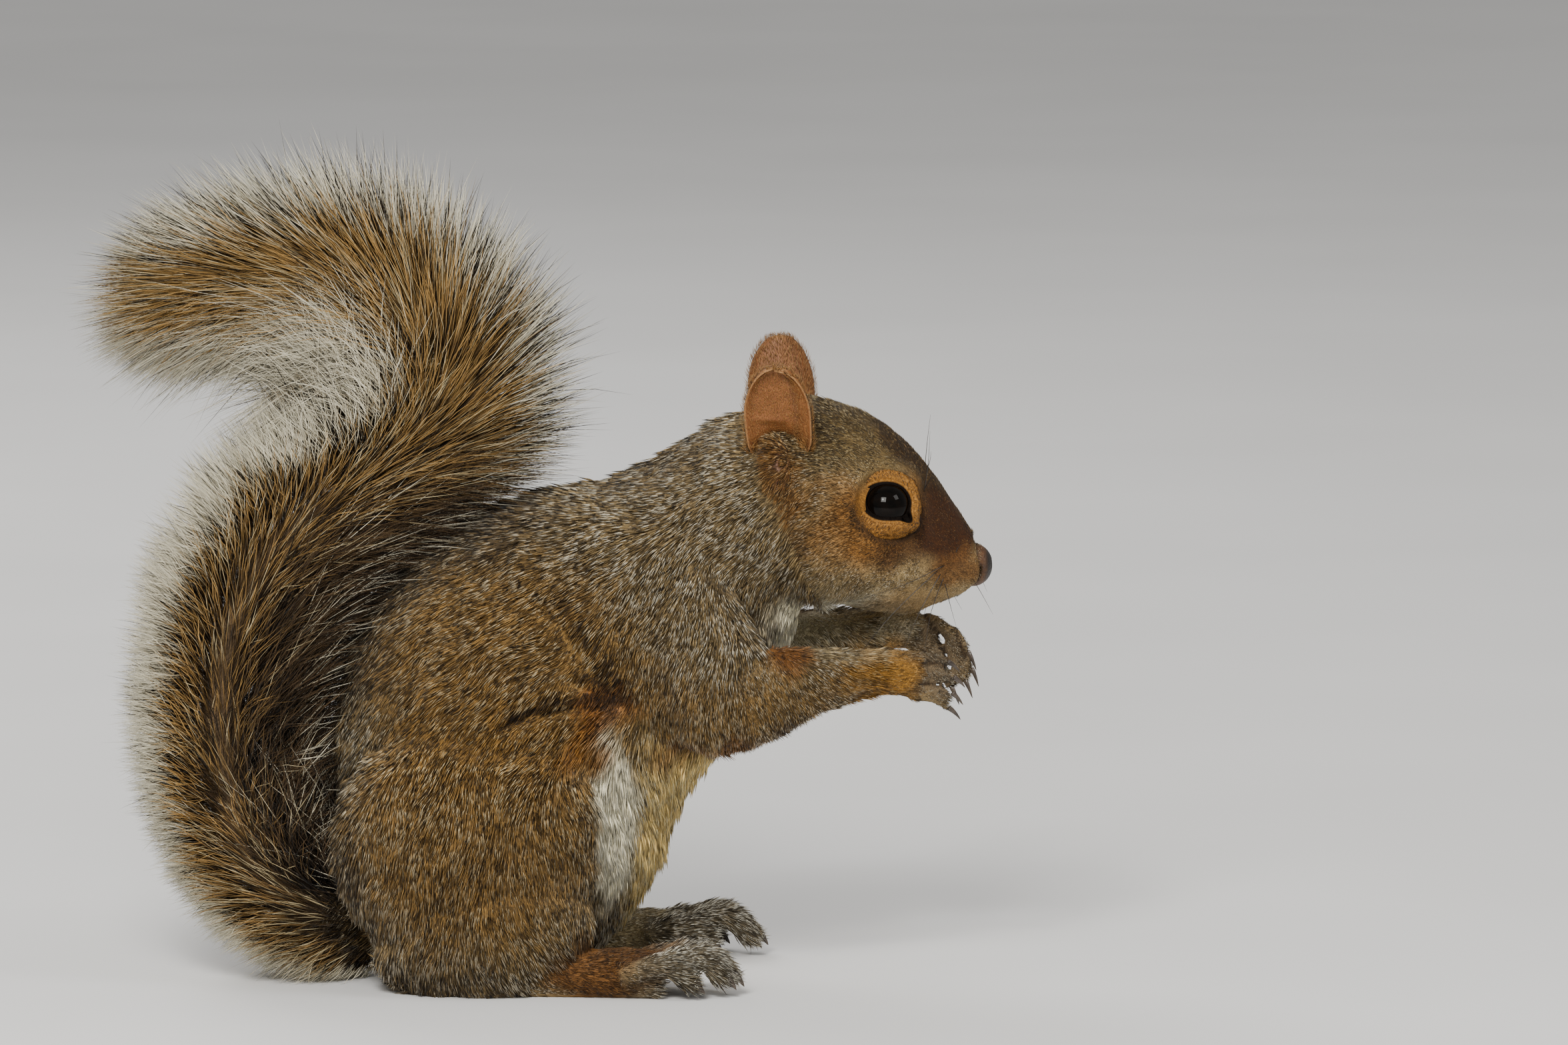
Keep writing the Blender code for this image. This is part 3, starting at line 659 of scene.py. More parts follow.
def in_lines(points, lines, width):
    """1 on any of some lines of (x, z), falling to 0 beside them."""
    reach = np.min([line_distance(points[:, (0, 2)], rows) for rows in lines], axis=0)
    return np.exp(-((reach / width) ** 2))


def crease_share(points, zone, width):
    """1 in the creases of the body, between the fingers and along the mouth, falling to 0 beside them."""
    body = in_lines(points, CREASES, width) * ease((np.abs(points[:, 1]) - 14) / 6)
    mouth = np.exp(-((line_distance(half_head(points), MOUTH) / (0.45 * width)) ** 2))
    for side, lines in FINGER_GAPS.items():
        here = in_zone(zone, "hand") & (np.sign(points[:, 1]) == SIDES[side])
        body = np.where(here, in_lines(points, lines, 0.5 * width), body)
    return np.where(in_zone(zone, "head"), mouth, body)


def coat_depth(points, zone):
    """How far the hairs' tips rise over the skin at points of the body's outside."""
    rows = [HAIR.get(name, TAIL_FOOT) for name in ZONES]
    rise = [length * math.tan(math.radians(lift)) for length, _, lift, _ in rows]
    depth = np.array(rise)[zone] * TIPS_UP
    depth = np.where(in_zone(zone, "head"), depth * head_hair(points), depth)
    return depth * (0.1 + 0.9 * ease(points[:, 2] / 4))


def ball(centre, radii):
    """Points and triangles of a round form that lies along the head's own directions."""
    shape = bmesh.new()
    bmesh.ops.create_icosphere(shape, subdivisions=3, radius=1.0)
    points = np.array([v.co for v in shape.verts]) * radii
    faces = np.array([[v.index for v in f.verts] for f in shape.faces])
    shape.free()
    return head_place(*centre) + points @ HEAD_AXES, faces


def sunk_under_pieces(points):
    """Moves the skin in where the lids, the eyeballs and the nose pad take its place."""
    for side in SIDES:
        level, aside = from_eye(points, side)
        share = (1 - ease((aside - 6.7) / 1.6)) * ease((level + 2) / 2)
        points = points - eye_axes(side)[0] * (EYE_SINK * share)[:, None]
    share = 1 - ease((from_nose(points) - 1.15) / 0.25)
    return points - HEAD_AHEAD * (NOSE_SINK * share)[:, None]


def smoothed_thigh(points, zone, edges):
    """Evens out the edge where the thigh meets the flank, above the knee."""
    on_thigh = neighbour_mean(in_zone(zone, "thigh").astype(float), edges, len(points), 50)
    blend = ease(3.2 * on_thigh * (1 - on_thigh))[:, None] * ease((points[:, 2:] - 30) / 12)
    return points * (1 - blend) + neighbour_mean(points, edges, len(points), 90) * blend


def make_skin():
    """The one skin: the flesh closed into one surface, moved in by the coat's depth, and the tail's tube."""
    parts = [pushed_out(node, CUT_CLOSER) for node in FLESH] + [ball(*row) for row in MUZZLE]
    whole = remeshed("flesh", *joined(parts), VOXEL, 2)
    points, normals, triangles = read_mesh(whole.data)
    edges = mesh_edges(whole.data)
    bpy.data.objects.remove(whole)
    zone = zones_of(points)
    depth = neighbour_mean(coat_depth(points, zone) + CUT_CLOSER - SMOOTHING_LOSS, edges, len(points), 14)
    depth += CREASE_DEPTH * crease_share(points, zone, 1.5)
    normals = unit(neighbour_mean(normals, edges, len(points), 4))
    points = smoothed_thigh(points, zone, edges)
    points = sunk_under_pieces(points - normals * depth[:, None])
    return remeshed("skin", *joined([(points, triangles), tail_tube()]), VOXEL, 2)


# ---- markings and painted shade


def patch_share(offset, radii):
    """1 in the middle of an ellipsoid, falling smoothly to 0 a little outside it."""
    return 1 - ease((np.linalg.norm(offset / np.array(radii), axis=1) - 0.62) / 0.62)


def blended(rows, new, share):
    """Rows of numbers with a share of new ones mixed in."""
    share = np.reshape(share, (len(rows), 1))
    return rows * (1 - share) + new * share


def crease_shaded(rows, points, zone, width):
    """Rows of the coat made nearly black by painted shade in the bottom of creases."""
    return blended(rows, CREASE_SHADE, crease_share(points, zone, width)[:, None] * 0.9)


def markings_and_shade(points, zone):
    """The coat at each point, its markings and its painted shade: nine numbers, in the order of COATS."""
    kinds = {name: np.concatenate([np.ravel(value) for value in row]) for name, row in COATS.items()}
    wander = np.stack([ripple(points, 11, seed) for seed in (21, 22, 23)], axis=1) * 1.3
    mixed = np.tile(kinds["grey"], (len(points), 1))
    placed = points + wander
    body = np.abs(placed * (0, 1, 0)) + placed * (1, 0, 1)
    on_limb = in_zone(zone, "upper_arm", "forearm", "hand", "thigh", "hind_foot")
    for kind, centre, radii, strength in BODY_PATCHES:
        share = patch_share(body - centre, radii) * strength
        mixed = blended(mixed, kinds[kind], share * ~on_limb if kind == "cream" else share)
    for side, (kind, centre, radii, strength) in FOOT_PATCHES.items():
        share = patch_share(body - centre, radii) * strength
        mixed = blended(mixed, kinds[kind], share * (np.sign(points[:, 1]) == SIDES[side]))
    top = mixed.copy()
    head = half_head(placed)
    for kind, centre, radii, strength in HEAD_PATCHES:
        top = blended(top, kinds[kind], patch_share(head - centre, radii) * strength)
    on_head = in_zone(zone, "head")
    mixed = np.where(on_head[:, None], top, mixed)
    return crease_shaded(eye_ring_and_shade(mixed, kinds, points, on_head), points, zone, 0.9)


def eye_ring_and_shade(mixed, kinds, points, on_head):
    """Adds the ochre ring round each eye, and under it a dark crease of painted shade, below the ring's
    bulging lower edge.
    """
    front, top, out = round_eye(points).T
    reach = np.hypot(front, top)
    near = on_head * (out > -6)
    # painted shade in the crease under the ring
    crease = np.exp(-(((reach - 8.8) / 0.9) ** 2)) * ease(0.3 - top / 5) * near * 0.9
    mixed = blended(mixed, CREASE_SHADE, crease)
    wide = 6.5 - 0.7 * ease(0.5 + top / 6) - 0.9 * ease(front / 6)
    return blended(mixed, kinds["ring"], (1 - ease((reach - wide + 0.4) / 2.0)) * near)


# ---- the lie of the coat


def lie_at(points, zone):
    """The way that hair points at each place, before it's laid along the skin."""
    way = np.zeros((len(points), 3))
    for name, rows in LIE.items():
        here = in_zone(zone, *(z for z, table in LIE_OF.items() if table == name))
        if not here.any():
            continue
        rows = np.array(rows, float)
        gap = np.linalg.norm(points[here][:, None, (0, 2)] - rows[:, :2], axis=2)
        weight = 1 / (gap**2 + 9) ** 1.6
        blend = weight @ unit(rows[:, 2:]) / weight.sum(axis=1, keepdims=True)
        way[here] = np.insert(blend, 1, 0.0, axis=1)
    return unit(way)


def along_skin(way, normal):
    """Ways laid flat on the skin."""
    return unit(way - normal * np.sum(way * normal, axis=1, keepdims=True))


# ---- tufts


def scatter(points, normals, triangles, density, seed):
    """Roots spread evenly over triangles: their places, normals and triangles' numbers."""
    rng = np.random.default_rng(seed)
    a, b, c = (points[triangles[:, k]] for k in range(3))
    area = np.linalg.norm(np.cross(b - a, c - a), axis=1) / 2
    running = np.cumsum(area * density)
    count = int(running[-1])
    ticks = (np.arange(count) + rng.uniform(0, 1, count)) * running[-1] / count
    chosen = np.minimum(np.searchsorted(running, ticks), len(triangles) - 1)
    u, v = rng.uniform(0, 1, (2, count))
    over = u + v > 1
    u[over], v[over] = 1 - u[over], 1 - v[over]
    weights = np.stack((1 - u - v, u, v), axis=1)[:, :, None]
    corners = triangles[chosen]
    place = (points[corners] * weights).sum(axis=1)
    normal = unit((normals[corners] * weights).sum(axis=1))
    return place, normal, chosen


def tuft_mesh(name, points, triangles, along, sideways, looks, patches):
    """Joined closed tufts of one pattern.

    points holds each tuft's corners, and triangles, along and sideways tell of one tuft: its faces, how far
    each corner is from root to tip, and where it is across. looks maps the name of an attribute to its
    values, one row for each tuft, and patches holds each tuft's place on the unwrapped skin.
    """
    count, corners, _ = points.shape
    points[..., 2] = np.maximum(points[..., 2], 0.05)
    faces = (np.array(triangles)[None] + (np.arange(count) * corners)[:, None, None]).reshape(-1, 3)
    mesh = mesh_from(name, points.reshape(-1, 3), faces)
    across = np.tile(sideways, count) + np.repeat(np.arange(count) % 97, corners)
    for key, values in looks.items():
        write = write_numbers if values.ndim == 1 else write_colours
        write(mesh, key, np.repeat(values, corners, axis=0))
    write_numbers(mesh, "along", np.tile(along, count))
    write_numbers(mesh, "across", across)
    local = np.stack((sideways, along), axis=1) * BAKE_PATCH
    uv = (patches[:, None] + local[None]).reshape(-1, 2)
    layer = mesh.uv_layers.new(name="OFBake")
    layer.data.foreach_set("uv", uv[faces.ravel()].astype(np.float32).ravel())
    return mesh


def short_tufts(name, root, middle, tip, side, width, looks, patches):
    """Each tuft a slim leaf of four triangles, widest a little past its middle."""
    edge = side * width[:, None] / 2
    points = np.stack((root, middle - edge, middle + edge, tip), axis=1)
    triangles = [(0, 2, 1), (1, 2, 3), (0, 1, 3), (0, 3, 2)]
    along = BODY_LEVELS[[0, 1, 1, 2]]
    sideways = np.array((0.5, 0.0, 1.0, 0.5))
    return tuft_mesh(name, points, triangles, along, sideways, looks, patches)


def long_tufts(name, lines, levels, side, width, looks, patches):
    """Long hair: pointed at both ends, with a three-cornered ring at each level between."""
    count, rings = len(lines), len(levels) - 2
    way = unit(lines[:, 2:] - lines[:, :-2])
    top = unit(np.cross(side[:, None], way))
    breadth = width[:, None, None] * (1 - 0.15 * np.linspace(0, 1, rings))[None, :, None]
    centre, edge = lines[:, 1:-1], side[:, None] * breadth / 2
    corner = np.stack((centre - edge, centre + edge, centre + top * breadth * 0.45), axis=2)
    points = np.concatenate((lines[:, :1], corner.reshape(count, rings * 3, 3), lines[:, -1:]), axis=1)
    last = rings * 3 + 1
    triangles = [(0, 2, 1), (0, 3, 2), (0, 1, 3)]
    for level in range(rings - 1):
        low = 1 + level * 3
        for a, b in ((0, 1), (1, 2), (2, 0)):
            triangles += [(low + a, low + b, low + 3 + b), (low + a, low + 3 + b, low + 3 + a)]
    triangles += [(last - 3, last - 2, last), (last - 2, last - 1, last), (last - 1, last - 3, last)]
    along = np.concatenate(((0.0,), np.repeat(levels[1:-1], 3), (1.0,)))
    sideways = np.concatenate(((0.5,), np.tile((0.0, 1.0, 0.5), rings), (0.5,)))
    return tuft_mesh(name, points, triangles, along, sideways, looks, patches)


def unwrap(points, start, end):
    """Places on the skin unrolled about an axis, from 0 to 1 each way."""
    axis = unit(end - start)
    offset = points - start
    along = offset @ axis
    out = offset - along[:, None] * axis
    first = unit(np.cross(axis, (0.0, 1.0, 0.0)))
    flat = np.stack((np.arctan2(out @ np.cross(axis, first), out @ first), along), axis=1)
    low, high = flat.min(axis=0), flat.max(axis=0)
    return 0.004 + 0.988 * (flat - low) / np.maximum(high - low, 1e-6)


def lock_picks(count, leader, shared, rng):
    """A number from 0 to 1 for each tuft, and for a share of the tufts that of their lock's leader."""
    alike = rng.uniform(0, 1, count) < shared
    return np.where(alike, rng.uniform(0, 1, count)[leader], rng.uniform(0, 1, count))


def tip_colours(tint, pale, pick, pale_share, black_share, tones, rng):
    """Colours of tips: pale on a share of the tufts, black on a share, and else the middle's."""
    tip = tint.copy()
    light = pick < pale_share
    tip[light] = pale[light] * rng.uniform(*tones, (light.sum(), 1))
    tip[~light & (pick < pale_share + black_share)] = BLACK_TIP
    return tip


def hair_colours(rows, leader, rng):
    """Middle colour, tip colour and band of each tuft, from the coat at its root and shared in locks."""
    count = len(rows)
    tone = rng.uniform(0.7, 1.25, count) * rng.uniform(0.5, 1.5, count)[leader]
    tint = rows[:, :3] * tone[:, None]
    pick = lock_picks(count, leader, 0.55, rng)
    tip = tip_colours(tint, rows[:, 3:6], pick, rows[:, 6], rows[:, 7], (0.8, 1.15), rng)
    return {"tint": tint, "tip": tip, "band": rows[:, 8] * rng.uniform(0.5, 1.0, count)}


# ---- materials


def new_material(name, roughness, specular):
    material = bpy.data.materials.new(name)
    material.use_nodes = True
    tree = material.node_tree
    shader = tree.nodes["Principled BSDF"]
    shader.inputs["Roughness"].default_value = roughness
    shader.inputs["Specular IOR Level"].default_value = specular
    return material, tree, shader


def add_node(tree, kind, **settings):
    node = tree.nodes.new(kind)
    for key, value in settings.items():
        setattr(node, key, value)
    return node


def read_attribute(tree, name, output="Color"):
    return add_node(tree, "ShaderNodeAttribute", attribute_name=name).outputs[output]


def link_or_set(tree, socket, value):
    """Links a socket to another's output, or sets its number or colour."""
    if isinstance(value, bpy.types.NodeSocket):
        tree.links.new(value, socket)
    elif isinstance(value, tuple):
        socket.default_value = (*value, 1)
    else:
        socket.default_value = value


def ramp(tree, value, stops):
    """A colour ramp on a value: stops are (place, colour or grey)."""
    node = add_node(tree, "ShaderNodeValToRGB")
    elements = node.color_ramp.elements
    while len(elements) < len(stops):
        elements.new(0.5)
    for element, (place, colour) in zip(elements, stops):
        element.position = place
        element.color = (colour, colour, colour, 1) if isinstance(colour, (int, float)) else (*colour, 1)
    tree.links.new(value, node.inputs["Fac"])
    return node.outputs["Color"]


def mix(tree, share, first, second, blend="MIX"):
    node = add_node(tree, "ShaderNodeMix", data_type="RGBA", blend_type=blend)
    for name, value in (("Factor", share), ("A", first), ("B", second)):
        link_or_set(tree, node.inputs[name], value)
    return node.outputs["Result"]


def math_node(tree, operation, first, second):
    node = add_node(tree, "ShaderNodeMath", operation=operation)
    link_or_set(tree, node.inputs[0], first)
    link_or_set(tree, node.inputs[1], second)
    return node.outputs["Value"]


def noise(tree, scale, detail, vector=None):
    node = add_node(tree, "ShaderNodeTexNoise")
    node.inputs["Scale"].default_value = scale
    node.inputs["Detail"].default_value = detail
    if vector is None:
        vector = add_node(tree, "ShaderNodeTexCoord").outputs["Object"]
    tree.links.new(vector, node.inputs["Vector"])
    return node.outputs["Fac"]


def bump(tree, shader, height, strength, distance):
    node = add_node(tree, "ShaderNodeBump")
    node.inputs["Strength"].default_value = strength
    node.inputs["Distance"].default_value = distance * MM
    tree.links.new(height, node.inputs["Height"])
    tree.links.new(node.outputs["Normal"], shader.inputs["Normal"])


def coat_material(name, band, tip, shine):
    """Hair: a dark root, partly the hair's own darker base and partly painted shade deep in the coat, then
    its own colour, a dark band, its tip. band and tip are shares of its length.
    """
    material, tree, shader = new_material(name, 0.6, shine)
    shader.inputs["Sheen Weight"].default_value = 0.05
    shader.inputs["Sheen Roughness"].default_value = 0.4
    along = read_attribute(tree, "along", "Fac")
    waver = math_node(tree, "MULTIPLY", math_node(tree, "SUBTRACT", noise(tree, 900, 2), 0.5), 0.22)
    place = math_node(tree, "ADD", along, waver)
    # the dark root: the hair's own darker base and painted shade deep in the coat
    root = ramp(tree, place, [(0.0, 0.12), (0.2, 0.42), (0.45, 1.0)])
    colour = mix(tree, 1.0, read_attribute(tree, "tint"), root, "MULTIPLY")
    strand = add_node(tree, "ShaderNodeTexNoise", noise_dimensions="1D")
    strand.inputs["Scale"].default_value = 2.6
    strand.inputs["Detail"].default_value = 1.0
    tree.links.new(read_attribute(tree, "across", "Fac"), strand.inputs["W"])
    strand = ramp(tree, strand.outputs["Fac"], [(0.36, 0.55), (0.56, 1.0)])
    start, end = band
    dark = ramp(tree, place, [(start - 0.08, 0), (start + 0.03, 1), (end - 0.03, 1), (end + 0.05, 0)])
    dark = math_node(tree, "MULTIPLY", dark, read_attribute(tree, "band", "Fac"))
    colour = mix(tree, dark, colour, BLACK_TIP)
    at_tip = ramp(tree, place, [(tip - 0.05, 0), (tip + 0.05, 1)])
    colour = mix(tree, at_tip, colour, read_attribute(tree, "tip"))
    colour = mix(tree, 1.0, colour, strand, "MULTIPLY")
    tree.links.new(colour, shader.inputs["Base Color"])
    return material


def skin_material():
    """The skin under the coat: its colours, darker, drawn out into short hairs by noise and bump."""
    material, tree, shader = new_material("skin_under_coat", 0.75, 0.2)
    grain = read_attribute(tree, "grain", "Vector")
    fine = noise(tree, 4200, 2, grain)
    broad = noise(tree, 900, 2, grain)
    shade = ramp(tree, fine, [(0.38, 0.42), (0.5, 0.65), (0.66, 1.0)])
    colour = mix(tree, 1.0, read_attribute(tree, "tint"), shade, "MULTIPLY")
    colour = mix(tree, ramp(tree, broad, [(0.45, 0.0), (0.65, 0.22)]), colour, (0.020, 0.014, 0.010))
    tree.links.new(colour, shader.inputs["Base Color"])
    bump(tree, shader, fine, 0.6, 0.25)
    return material


def mottled_material(name, roughness, specular, scale, detail, *stops):
    """A material whose colour wanders along a ramp by noise."""
    material, tree, shader = new_material(name, roughness, specular)
    tree.links.new(ramp(tree, noise(tree, scale, detail), stops), shader.inputs["Base Color"])
    return material, tree, shader


def eye_material():
    stops = (0.3, (0.001, 0.001, 0.001)), (0.8, (0.005, 0.003, 0.002))
    return mottled_material("dark_eye", 0.03, 0.1, 500, 2, *stops)[0]


def lid_material():
    """Bare dark skin at the very edge, and short ochre hair round it."""
    material, tree, shader = new_material("eyelid_skin", 0.7, 0.05)
    fine = noise(tree, 2200, 3)
    hair = ramp(tree, fine, [(0.3, (0.18, 0.075, 0.014)), (0.7, (0.36, 0.17, 0.04))])
    edge = ramp(tree, fine, [(0.3, (0.003, 0.002, 0.002)), (0.8, (0.010, 0.007, 0.005))])
    dark = read_attribute(tree, "dark", "Fac")
    tree.links.new(mix(tree, dark, hair, edge), shader.inputs["Base Color"])
    bump(tree, shader, fine, 0.5, 0.15)
    return material


def ear_material():
    """Thin warm skin with fine mottling, with painted shade low down inside the ear and in the crease inside
    its front rim, and on the folds under the ear a darker tone with painted shade in their hollows.
    """
    material, tree, shader = new_material("ear_skin", 0.55, 0.35)
    stops = (0.3, (0.18, 0.064, 0.018)), (0.55, (0.23, 0.085, 0.025)), (0.8, (0.29, 0.115, 0.038))
    colour = ramp(tree, noise(tree, 420, 4), stops)
    colour = mix(tree, read_attribute(tree, "dark", "Fac"), colour, (0.026, 0.013, 0.008))
    colour = mix(tree, read_attribute(tree, "rim", "Fac"), colour, (0.30, 0.15, 0.055))
    tree.links.new(colour, shader.inputs["Base Color"])
    bump(tree, shader, noise(tree, 1800, 3), 0.5, 0.12)
    return material


def nose_material():
    """Dark, finely pebbled skin."""
    material, tree, shader = new_material("nose_skin", 0.5, 0.4)
    cells = add_node(tree, "ShaderNodeTexVoronoi")
    cells.inputs["Scale"].default_value = 2200
    tree.links.new(add_node(tree, "ShaderNodeTexCoord").outputs["Object"], cells.inputs["Vector"])
    colour = ramp(tree, noise(tree, 900, 3), [(0.3, (0.045, 0.018, 0.006)), (0.75, (0.120, 0.052, 0.016))])
    colour = mix(tree, read_attribute(tree, "dark", "Fac"), colour, (0.012, 0.008, 0.006))
    tree.links.new(colour, shader.inputs["Base Color"])
    bump(tree, shader, cells.outputs["Distance"], 0.7, 0.12)
    return material


def claw_material():
    """Dark horn with fine lines."""
    stops = (0.3, (0.028, 0.020, 0.015)), (0.75, (0.10, 0.075, 0.055))
    material, tree, shader = mottled_material("claw_horn", 0.3, 0.5, 500, 3, *stops)
    bump(tree, shader, noise(tree, 4000, 2), 0.3, 0.04)
    return material


def whisker_material():
    stops = (0.3, (0.008, 0.006, 0.005)), (0.8, (0.03, 0.022, 0.018))
    return mottled_material("whisker", 0.35, 0.5, 700, 2, *stops)[0]


def floor_material():
    return mottled_material("pale_floor", 0.85, 0.2, 6, 2, (0.3, 0.74), (0.7, 0.78))[0]


# ---- pieces


def finish_piece(item, material, slot, *nodes):
    item.data.materials.clear()
    item.data.materials.append(material)
    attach(item, "root")
    if nodes:
        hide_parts(*nodes)
    return item


def make_eye(side, material):
    """An eyeball with the low dome of its cornea."""
    look, front, top = eye_axes(side)

    def mould(points):
        dome = 1 + 0.035 * ease((points[:, 2:] - 0.45) / 0.5)
        return EYES[side] + points * dome * (EYE_RADIUS - 0.15) @ np.stack((front, top, look))

    item, _ = moulded("eyeball_" + side, 48, mould)
    finish_piece(item, material, "eye", "eye_" + side)


def lid_corner(angle, place, width):
    """1 at a corner of the lids, at an angle round the eye from the front, and 0 away from it."""
    return math.exp(-((math.remainder(angle - place, 2 * math.pi) / width) ** 2))


LID_PROFILE = [  # distance out from the edge of the opening, and height over it
    (-0.55, None),
    (-0.25, None),
    (0.0, 0.08),
    (0.14, 0.16),
    (0.30, 0.18),
    (0.55, 0.16),
    (0.95, 0.34),
    (1.6, 0.55),
    (2.5, 0.50),
    (3.4, 0.25),
    (4.3, -0.2),
    (5.2, -0.9),
    (6.4, -1.9),
]


def lid_place(side, angle, out, height, tree):
    """A point of the lids at an angle round the eye, and how near it is to the eye's inner corner."""
    look, front, top = eye_axes(side)
    inner, outer = lid_corner(angle, -0.64, 0.24), lid_corner(angle, 2.85, 0.65)
    low_lid = max(-math.sin(angle), 0.0)
    open_to = math.radians(52 + 13 * abs(math.cos(angle)) ** 1.6 + 6 * inner + 4 * outer - 7 * low_lid)
    radial = front * math.cos(angle) + top * math.sin(angle)
    reach = EYE_RADIUS * math.sin(open_to) + out + (1.5 * inner + 0.5 * outer) * (out > -0.3)
    if height is None:
        level = math.sqrt(max((EYE_RADIUS + 0.03) ** 2 - reach**2, 0.5))
    else:
        level = EYE_RADIUS * math.cos(open_to) + height - 0.5 * inner
    place = EYES[side] + look * level + radial * reach
    near, way = tree.find_nearest(place.tolist())[:2]
    sink = step_up(out, 1.6, 4.0)
    return place * (1 - sink) + (np.array(near) + np.array(way) * (1.1 - 0.42 * out)) * sink, inner


def make_lids(side, tree, material):
    """The lids: a thin dark edge on the eyeball and, round it, a soft ring that runs down into the skin."""
    around = 128
    points, dark, bare = [], [], []
    for out, height in LID_PROFILE:
        for k in range(around):
            place, inner = lid_place(side, 2 * math.pi * k / around, out, height, tree)
            points.append(place)
            dark.append(float(out < 0.2) + 0.5 * float(0.2 < out < 0.4) + 0.4 * inner * float(out < 1.0))
            bare.append(out < 0.5)
    faces = turned(grid_faces(len(LID_PROFILE), around, True), side)
    item = new_object("eyelids_" + side, mesh_from("eyelids_" + side, np.array(points), faces))
    write_numbers(item.data, "dark", np.clip(dark, 0, 1))
    return finish_piece(item, material, "ear_skin"), np.array(bare)


def ear_grid(side):
    """The ear's own place and directions, from its solid: top, half width, up, ahead and out."""
    low, high = box_mm("ear_" + side)
    lean = math.radians(14)
    up = unit(np.array((-math.sin(math.radians(4)), SIDES[side] * math.sin(lean), math.cos(lean))))
    up = up @ np.stack((np.array((1.0, 0, 0)), HEAD_LEFT, HEAD_UP))
    outer = low[1] if side == "right" else high[1]
    tip = np.array(((low[0] + high[0]) / 2 - 0.3, outer - SIDES[side] * 0.8, high[2]))
    out = squared(HEAD_LEFT * SIDES[side] + HEAD_AHEAD * 0.12, up)
    return tip, (high[0] - low[0]) / 2, up, squared(HEAD_AHEAD, up), out


EAR_HEIGHT = 26.2
EAR_ROOT = 7.0  # how far the ear goes on down inside the head


def hill(x, middle, width):
    """A smooth hill of height 1."""
    return math.exp(-(((x - middle) / width) ** 2))


def step_up(x, start, end):
    """0 before start, 1 after end, smooth between."""
    return float(ease(np.array((x - start) / (end - start))))


def ear_lift(u, h):
    """How far the inside of the ear stands out at u, from its back rim to its front rim, and height h."""
    cup = -2.6 * (1 - u * u) * (1 - max(h, 0) * 0.6)
    bowl = -2.2 * hill(h, 0.22, 0.16) * hill(u, 0.1, 0.5)
    fold = 0.9 * hill(h, 0.47 - 0.07 * u, 0.030) * hill(u, -0.30, 0.55)
    front = 1.7 * step_up(u, 0.52, 0.86) * (1 - 0.45 * max(h, 0))
    back = 0.5 * step_up(-u, 0.75, 1.0)
    return cup + bowl + fold + front + back


def ear_half_width(h):
    """Half the ear's width at height h, as a share of its solid's."""
    width = 0.98 * (1 - max(0.0, (h - 0.5) / 0.5) ** 2.3) ** 0.5
    return width * (0.88 + 0.14 * math.sin(min(max(h, 0), 1) * 2.6))


def make_ear(side, material):
    """A cupped leaf of thin skin with a rolled front rim and a fold across its foot."""
    tip, half, up, ahead, out = ear_grid(side)
    rows, columns = 49, 33
    inner, dark, rim = [], [], []
    for i in range(rows):
        above = (i / (rows - 1)) ** 0.9 * (EAR_HEIGHT + EAR_ROOT) - EAR_ROOT
        h = above / EAR_HEIGHT
        foot = 1 - step_up(h, -0.05, 0.30)
        width = max(half * ear_half_width(h), 0.5) * (1 - 0.30 * foot)
        for u in np.linspace(-1, 1, columns):
            curl = 0.10 * half * step_up(u, 0.8, 1.0)
            lift = ear_lift(u, h) - 3.2 * foot
            inner.append(tip - up * (EAR_HEIGHT - above) + ahead * (u * width - curl) + out * lift)
            # painted shade low down in the ear's cup and in the crease inside its front rim
            dark.append(min(1.0, 0.8 * (1 - step_up(h, 0.15, 0.42)) + 0.35 * hill(u, 0.52, 0.10)))
            rim.append(step_up(max(abs(u), (h - 0.2) / 0.8), 0.94, 1.0) * float(h > 0.1))
    grid = np.reshape(inner, (rows, columns, 3))
    normal = unit(np.cross(np.gradient(grid, axis=0), np.gradient(grid, axis=1)))
    normal = normal * np.sign(np.sum(normal * out, axis=2, keepdims=True))
    edge = np.maximum(np.abs(np.linspace(-1, 1, columns))[None], np.linspace(0, 1, rows)[:, None] ** 6)
    thick = 0.9 * (1 - 0.65 * edge**8)
    points = np.stack((grid, grid - normal * thick[..., None])).reshape(-1, 3)
    name = "ear_skin_" + side
    item = new_object(name, mesh_from(name, points, turned(leaf_faces(rows, columns), side)))
    write_numbers(item.data, "dark", np.tile(dark, 2))
    write_numbers(item.data, "rim", np.tile(rim, 2))
    return finish_piece(item, material, "ear_skin", "ear_" + side)


def leaf_faces(rows, columns):
    """Triangles of two grids of points, front and back, joined round their edge."""
    count = rows * columns
    front = grid_faces(rows, columns).reshape(-1, 2, 3)
    faces = np.concatenate((front, count + front[..., (0, 2, 1)]), axis=1).reshape(-1, 3)
    number = np.arange(count).reshape(rows, columns)
    edge = np.concatenate((number[0, :-1], number[:-1, -1], number[-1, :0:-1], number[:0:-1, 0]))
    after = np.roll(edge, -1)
    wall = np.stack((after, edge, count + edge, after, count + edge, count + after), axis=1)
    return np.concatenate((faces, wall.reshape(-1, 3)))


